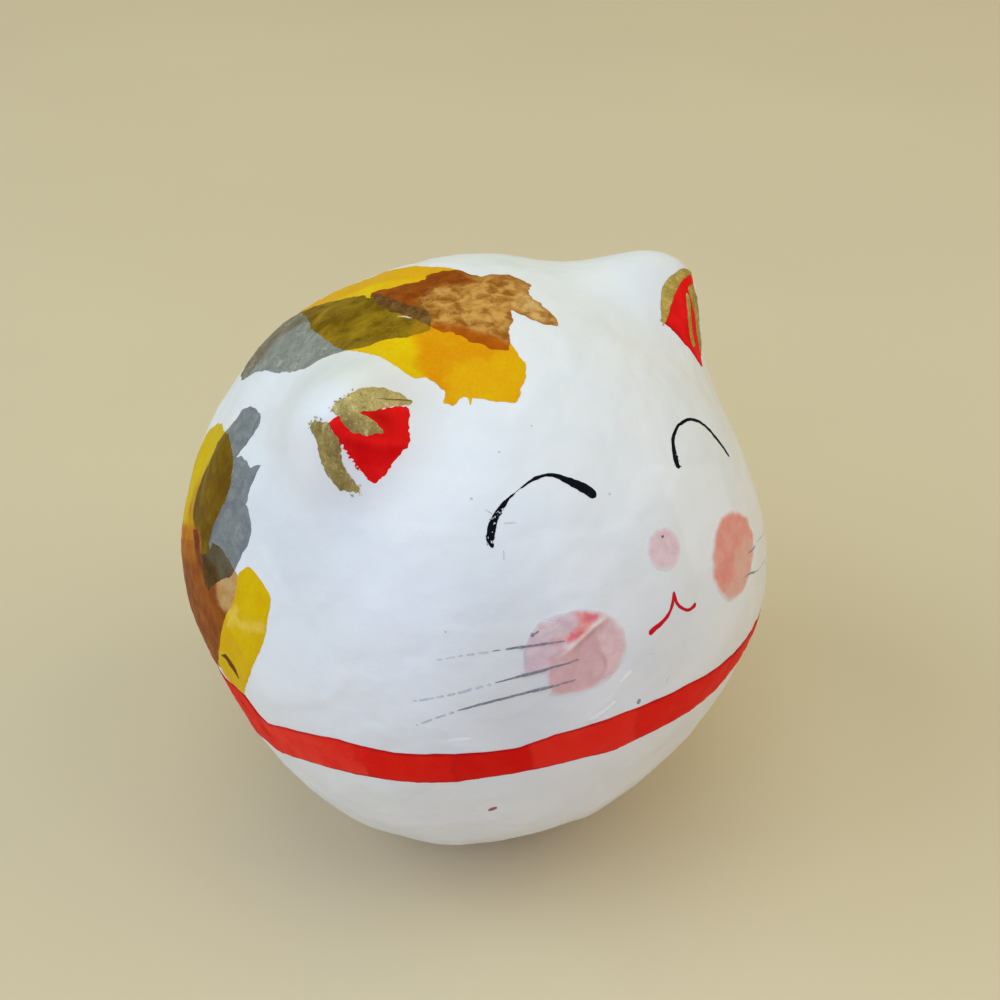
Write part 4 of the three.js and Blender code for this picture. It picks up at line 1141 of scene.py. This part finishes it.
belongs(sheet("cheek_left_tissue", lambda xy: from_chart(cheek_left, xy), [torn(1.055 * np.array(CHEEK_LEFT), 145, 0.12, 0.3, 2)], lambda own: M_CHEEK_L, [M_CHEEK_L],
              step=0.32, lift=0.08, layer=0.0, edge=0.03, swell=crinkles(6, 2.5, 0.025),
              washes={"coral": lambda p: 0.6 * inside(CHEEK_LEFT_CORAL, 1.6, 381, 0.4)(p), "tan": inside(CHEEK_LEFT_TAN, 2.2, 383, 0.5),
                      "thin": lambda p: 0.9 * smoothstep(0.5, -0.4, depth_in(p, CHEEK_LEFT) + 0.2 * noise2(p, 1.3, 385))}),
        "cheek_left")
turns = np.arange(28) * 2 * math.pi / 28
belongs(sheet("nose_tissue", lambda xy: from_chart(nose_chart, xy), [torn(np.stack([3.25 * np.cos(turns), 3.25 * np.sin(turns)], -1), 147, 0.10, 0.3)],
              lambda own: M_NOSE, [M_NOSE], step=0.3, lift=0.08, edge=0.03, swell=crinkles(9, 2.0, 0.02),
              washes={"thin": lambda p: 0.9 * smoothstep(0.55, -0.35, 2.95 - np.linalg.norm(p, axis=1) + 0.2 * noise2(p, 1.1, 391))}), "nose")


def on_face_papers(d):
    """Height of the cheek and nose papers under what is drawn over them."""
    h = np.zeros(len(d))
    for at, r, top in ((CHEEK_R_AT, 8.3, 0.14), (CHEEK_L_AT, 7.9, 0.10), (NOSE_AT, 3.4, 0.09)):
        away = np.arccos(np.clip(d @ unit(*at), -1, 1)) * R
        h = np.maximum(h, top * smoothstep(r + 0.4, r - 0.2, away))
    away, where = to_line(to_chart(cheek_right, d), np.array(CHEEK_RIDGE))
    near = np.exp(-((away / 0.5) ** 2)) * (d @ cheek_right[0] > 0.98)
    return h + 0.2 * near


# ---------------------------------------------------------------------------
# Drawn features
# ---------------------------------------------------------------------------
face = skin_chart(-6, 26)


def on_face(lonlat):
    a = np.asarray(lonlat, float)
    return to_chart(face, unit(a[:, 0], a[:, 1]))


def face_map(xy):
    return from_chart(face, xy)


M_INK = ink("black_ink", tint(12, 14, 20), tint(44, 46, 52), (0.60, 0.78))
M_RED_PEN = ink("red_pen", tint(186, 24, 40), tint(204, 66, 74), (0.60, 0.85))
M_PENCIL = ink("pencil", tint(118, 120, 127), tint(156, 159, 166), (0.46, 0.68), 0.5, 0.45)
M_PENCIL_FAINT = ink("pencil_faint", tint(171, 178, 187), tint(197, 203, 210), (0.42, 0.66), 0.6, 0.5)
M_TRACE = ink("brush_trace", tint(178, 185, 193), tint(202, 209, 216), (0.40, 0.66), 0.6, 0.5)
M_SPECK = ink("grey_speck", tint(168, 173, 182), tint(196, 200, 207), (0.40, 0.66))
M_DOT = ink("nose_dot", tint(92, 94, 104), tint(128, 130, 138), (0.46, 0.68))
M_SMUDGE = ink("dark_speck", tint(124, 127, 136), tint(158, 162, 170), (0.42, 0.64), 0.5)
M_RED_SPECK = ink("red_speck", tint(154, 98, 94), tint(190, 146, 140))

EYE_R = [(-34.2, 33.6), (-34.6, 35.0), (-34.4, 36.4), (-33.6, 38.0), (-32.5, 39.4), (-30.8, 40.9), (-28.8, 42.1), (-26.9, 43.0), (-24.1, 44.0), (-20.7, 44.2), (-18.3, 43.5), (-16.1, 42.5), (-13.9, 41.2), (-12.3, 40.0), (-11.4, 39.2)]
EYE_R_W = [0.45, 1.05, 1.15, 0.98, 0.80, 0.52, 0.06, 0.22, 0.42, 0.52, 0.80, 1.14, 1.50, 1.56, 1.30]
EYE_L = [(11.9, 37.8), (12.5, 39.3), (13.8, 40.8), (15.4, 42.2), (17.5, 43.1), (20.1, 43.5), (22.9, 43.4), (25.6, 42.7), (28.2, 41.3), (30.2, 39.1), (31.1, 36.8), (31.9, 34.4), (32.5, 31.6)]
EYE_L_W = [0.80, 0.98, 0.88, 0.72, 0.56, 0.46, 0.46, 0.58, 0.60, 0.60, 0.61, 0.63, 0.60]


def eye(name, points, widths, seed, dry):
    line = on_face(points)
    outlines = [band(line, widths, seed, 0.09)]
    holes = []
    if dry:
        r = np.random.RandomState(seed)
        fine = curve(line, 0.2)
        s = np.r_[0, np.cumsum(np.linalg.norm(np.diff(fine, axis=0), axis=1))]
        t = np.gradient(fine, axis=0)
        for _ in range(round(106 * dry)):
            # gaps left by a dry brush, long along the stroke
            k = int(np.searchsorted(s, r.uniform(0.02, dry) * s[-1]))
            turn = math.atan2(t[k, 1], t[k, 0])
            off = r.normal(0, 0.42)
            at = fine[k] + off * np.array([-math.sin(turn), math.cos(turn)])
            holes.append(blob(at[0], at[1], r.uniform(0.06, 0.19) * (0.5 + 1.5 * dry), r.randint(1000), 7, r.uniform(0.3, 0.7), turn))
        for _ in range(round(35 * dry)):
            k = int(np.searchsorted(s, r.uniform(0.0, dry * 0.9) * s[-1]))
            turn = math.atan2(t[k, 1], t[k, 0])
            at = fine[k] + r.choice([-1, 1]) * r.uniform(0.4, 0.66) * np.array([-math.sin(turn), math.cos(turn)])
            outlines.append(blob(at[0], at[1], r.uniform(0.06, 0.14), r.randint(1000), 7, 0.6, turn))
    solid = len(outlines)
    return belongs(sheet(name, face_map, outlines + holes, lambda own: M_INK if any(k < solid for k in own) and not any(k >= solid for k in own) else None, [M_INK],
                         step=0.35, lift=0.07, layer=0.0, edge=0.035, depth=0.2))


eye("right_eye_ink", EYE_R, EYE_R_W, 151, 0.34)
eye("left_eye_ink", EYE_L, EYE_L_W, 152, 0.10)

MOUTH = [(-6.7, 14.45), (-5.0, 15.05), (-3.8, 15.4), (-2.5, 16.0), (-1.5, 16.9), (-0.8, 17.9), (-0.05, 19.8)]
MOUTH_2 = [(-0.05, 19.6), (-0.1, 18.7), (0.2, 17.5), (1.0, 16.5), (2.0, 15.6), (3.3, 15.1), (5.2, 15.2)]
belongs(sheet("mouth_pen", face_map, [band(on_face(MOUTH), [1.0, 0.80, 0.70, 0.64, 0.58, 0.54, 0.46], 161, 0.05), band(on_face(MOUTH_2), [0.46, 0.5, 0.5, 0.48, 0.46, 0.56, 0.85], 162, 0.05)],
              lambda own: M_RED_PEN, [M_RED_PEN], step=0.3, lift=0.07, layer=0.0, edge=0.035, depth=0.2))

# whiskers: points, width, and the parts along them, from the outer end, that are dark; before these the line is faint and broken
WHISKERS = [
    ([(-44.0, 15.65), (-37.7, 16.75), (-29.7, 17.45), (-22.5, 17.45)], 0.33, [(0.42, 0.50), (0.53, 1.0)], 171),
    ([(-48.0, 7.5), (-41.8, 9.5), (-34.5, 11.6), (-25.5, 13.1), (-20.2, 13.7)], 0.40, [(0.49, 1.0)], 172),
    ([(-47.6, 2.7), (-42.5, 5.6), (-36.2, 7.9), (-28.1, 9.4), (-20.9, 10.1)], 0.40, [(0.27, 1.0)], 173),
    ([(40.0, 10.8), (35.4, 12.8), (31.7, 14.1), (26.9, 14.8), (25.1, 15.2)], 0.24, [(0.76, 1.0)], 174),
    ([(39.0, 5.6), (34.3, 7.4), (28.2, 9.7), (23.6, 11.7), (21.6, 12.2)], 0.25, [(0.66, 1.0)], 175),
]
TICKS = [  # short faint pencil and brush marks on the white, in longitude and latitude
    ([(-35.4, 39.7), (-33.6, 38.7)], 0.22, 176), ([(-31.8, 37.4), (-29.4, 37.3)], 0.20, 177), ([(-32.2, 33.2), (-32.2, 31.6)], 0.26, 178),
    ([(-6.7, 10.7), (-5.7, 10.4)], 0.24, 182), ([(-3.2, 3.6), (-2.2, 4.6)], 0.14, 183),
]
EDGE_LINE = [(-29.4, 17.6), (-29.5, 16.6), (-29.5, 15.2), (-29.5, 13.6)]
dark, faint = [], []
part = np.linspace(0, 1, 25)
for points, width, spans, seed in WHISKERS:
    line = on_face(points)
    r = np.random.RandomState(seed)
    at = spans[0][0]
    shape = width * (0.45 + 0.55 * smoothstep(at, at + 0.16, part)) * (1 - 0.68 * smoothstep(0.76, 1.0, part))
    dark += [band(line, shape, seed, 0.04, span) for span in spans]
    while at > 0.02:
        size, gap = r.uniform(0.03, 0.13), r.uniform(0.003, 0.010)
        faint.append(band(line, [width * 0.85, width * 1.2, width * 1.3], seed + 30, 0.04, (max(0.0, at - gap - size), at - gap)))
        at -= size + gap
dark += [band(on_face([(-28.4, 19.1), (-27.7, 19.4), (-26.9, 19.8)]), [0.24, 0.30, 0.20], 179, 0.05), band(on_face([(-28.2, 19.7), (-27.9, 19.0)]), [0.2, 0.3], 180, 0.05)]
faint.append(band(on_face(EDGE_LINE), [0.3, 0.24, 0.22, 0.1], 184, 0.04))
traces = [band(on_face(points), [width, width * 0.8], seed, 0.03) for points, width, seed in TICKS]
dark, faint, traces = ([o for o in group if o is not None] for group in (dark, faint, traces))


def pencil_pick(own):
    first = min(own)
    return M_PENCIL if first < len(dark) else M_PENCIL_FAINT if first < len(dark) + len(faint) else M_TRACE


belongs(sheet("whisker_pencil", face_map, dark + faint + traces, pencil_pick, [M_PENCIL, M_PENCIL_FAINT, M_TRACE],
              step=0.3, lift=0.05, layer=0.0, edge=0.03, depth=0.2, under=on_face_papers))

# thin ridges where the paper creased: points in longitude and latitude, half width and height in mm
RIDGES = [([(-18.8, 0.9), (-16.8, 1.6), (-15.2, 2.4), (-13.3, 3.6)], 0.34, 0.19), ([(-12.7, 7.1), (-11.6, 7.9), (-10.4, 8.8)], 0.18, 0.05),
          ([(-42.5, -0.3), (-40.5, 0.1), (-38.5, 0.5)], 0.26, 0.035)]
# the crease paper is a little whiter than the ball: a painted highlight along the raised creases
M_CREASE_HIGHLIGHT = tissue("paper_crease_highlight", (0.87, 0.875, 0.875, 1.0), (0.89, 0.895, 0.895, 1.0), 1.0, grain=0.02, gloss=0.10)
ridge_lines = [(on_face(points), half, height) for points, half, height in RIDGES]


def ridge_height(p):
    h = np.zeros(len(p))
    for points, half, height in ridge_lines:
        away, where = to_line(p, curve(points, 0.3))
        h = np.maximum(h, height * np.exp(-((away / half) ** 2)) * np.sqrt(np.clip(4 * where * (1 - where), 0, 1)))
    return h


belongs(sheet("paper_creases", face_map, [band(points, [half * 2.0, half * 3.6, half * 2.0], 240 + n, 0.05, step=0.3) for n, (points, half, _) in enumerate(ridge_lines)], lambda own: M_CREASE_HIGHLIGHT, [M_CREASE_HIGHLIGHT],
              step=0.16, lift=0.03, layer=0.0, edge=0.02, depth=0.2, swell=ridge_height))

# specks of grey and red: longitude, latitude, size
SPECKS = [(0.5, 29.3, 0.25), (-8.8, 1.75, 0.46), (-38.2, 41.4, 0.23), (-8.1, 39.0, 0.22), (-21.9, 52.9, 0.22), (-31.5, 48.9, 0.22), (-42.6, 20.4, 0.18)]
specks = []
for n, (lon, lat, size) in enumerate(SPECKS):
    x, y = on_face([(lon, lat)])[0]
    specks.append(blob(x, y, size, 200 + n, 9, 0.75, n * 1.3))
belongs(sheet("specks", face_map, specks, lambda own: (M_DOT, M_SMUDGE)[min(own)] if min(own) < 2 else M_SPECK, [M_DOT, M_SMUDGE, M_SPECK], step=0.2, lift=0.05, edge=0.03, depth=0.2, under=on_face_papers))
low = skin_chart(-35, -20)
belongs(sheet("red_fleck", lambda xy: from_chart(low, xy), [blob(0.2, -0.4, 0.92, 231, 12, 0.45, 0.72)], lambda own: M_RED_SPECK, [M_RED_SPECK],
              step=0.25, lift=0.06, edge=0.03, depth=0.2))


# ---------------------------------------------------------------------------
# Stage and light
# ---------------------------------------------------------------------------
def add_floor():
    m = Nodes("pale_floor")
    c = m.mix(m.span(m.noise(160.0, 2.0, 0.5), 0.35, 0.65), (0.680, 0.568, 0.376, 1), (0.696, 0.584, 0.388, 1))
    m.set(Base_Color=c, Roughness=0.62)
    mesh = bpy.data.meshes.new("floor")
    rim = [2 * math.pi * k / 64 for k in range(64)]
    mesh.from_pydata([(9.0 * math.cos(a), 9.0 * math.sin(a), -0.0001) for a in rim], [], [tuple(range(64))])
    mesh.materials.append(m.material)
    o = bpy.data.objects.new("floor", mesh)
    bpy.context.scene.collection.objects.link(o)


FAR = 2.5


def add_light(name, at, size, power, colour=(1, 1, 1)):
    """A soft round light aimed at the cat, moved out and enlarged by FAR so that it lights the floor evenly too. power is in watts of red, green and blue."""
    rgb = np.asarray(colour, float) * power * FAR ** 2
    at, size = tuple(v * FAR for v in at), size * FAR
    data = bpy.data.lights.new(name, "AREA")
    data.shape = "DISK"
    data.size = size
    data.energy = float(rgb.max())
    data.color = tuple(float(v) for v in rgb / rgb.max())
    o = bpy.data.objects.new(name, data)
    o.location = at
    o.rotation_euler = (Vector((0, 0, 0.05)) - Vector(at)).to_track_quat("-Z", "Y").to_euler()
    bpy.context.scene.collection.objects.link(o)
    return o


add_floor()
camera_side = Matrix.Rotation(-math.degrees(TURN) * math.pi / 180, 3, "Z")


def from_camera(right, toward, up):
    """A place given by its distance to the camera's right, towards the camera, and up, in metres."""
    p = camera_side @ Vector((right, -toward, up))
    return (p.x, p.y, p.z)


# soft daylight from the upper left, the room's light from above and the right, and a little from the front
add_light("left_upper", from_camera(-0.70, 0.10, 0.55), 0.7, (2.50, 2.89, 3.29))
add_light("left_front", from_camera(-0.50, 0.60, 0.45), 0.7, (0.78, 0.96, 1.52))
add_light("top", from_camera(0.00, 0.05, 0.90), 0.7, (1.63, 2.02, 2.01))
add_light("right_upper", from_camera(0.60, 0.10, 0.60), 0.7, (1.72, 1.74, 1.24))
add_light("front_low", from_camera(0.00, 0.90, 0.25), 0.7, (0.50, 0.74, 1.72))
add_light("back_top", from_camera(0.00, -0.60, 0.60), 0.7, (0.46, 0.32, 0.02))
add_light("right_back", from_camera(0.50, -0.50, 0.50), 0.7, (0.33, 0.16, 0.02))
add_light("right_front", from_camera(0.50, 0.60, 0.45), 0.7, (0.23, 0.15, 0.36))
add_light("right_low", from_camera(0.85, 0.20, 0.25), 0.7, (0.29, 0.08, 0.07))
world = bpy.data.worlds.new("room")
world.use_nodes = True
world.node_tree.nodes["Background"].inputs["Color"].default_value = (0.97, 1.0, 0.87, 1.0)
world.node_tree.nodes["Background"].inputs["Strength"].default_value = 0.268
bpy.context.scene.world = world
bpy.context.scene.view_settings.view_transform = "Standard"
bpy.context.scene.view_settings.look = "None"

bpy.context.view_layer.update()
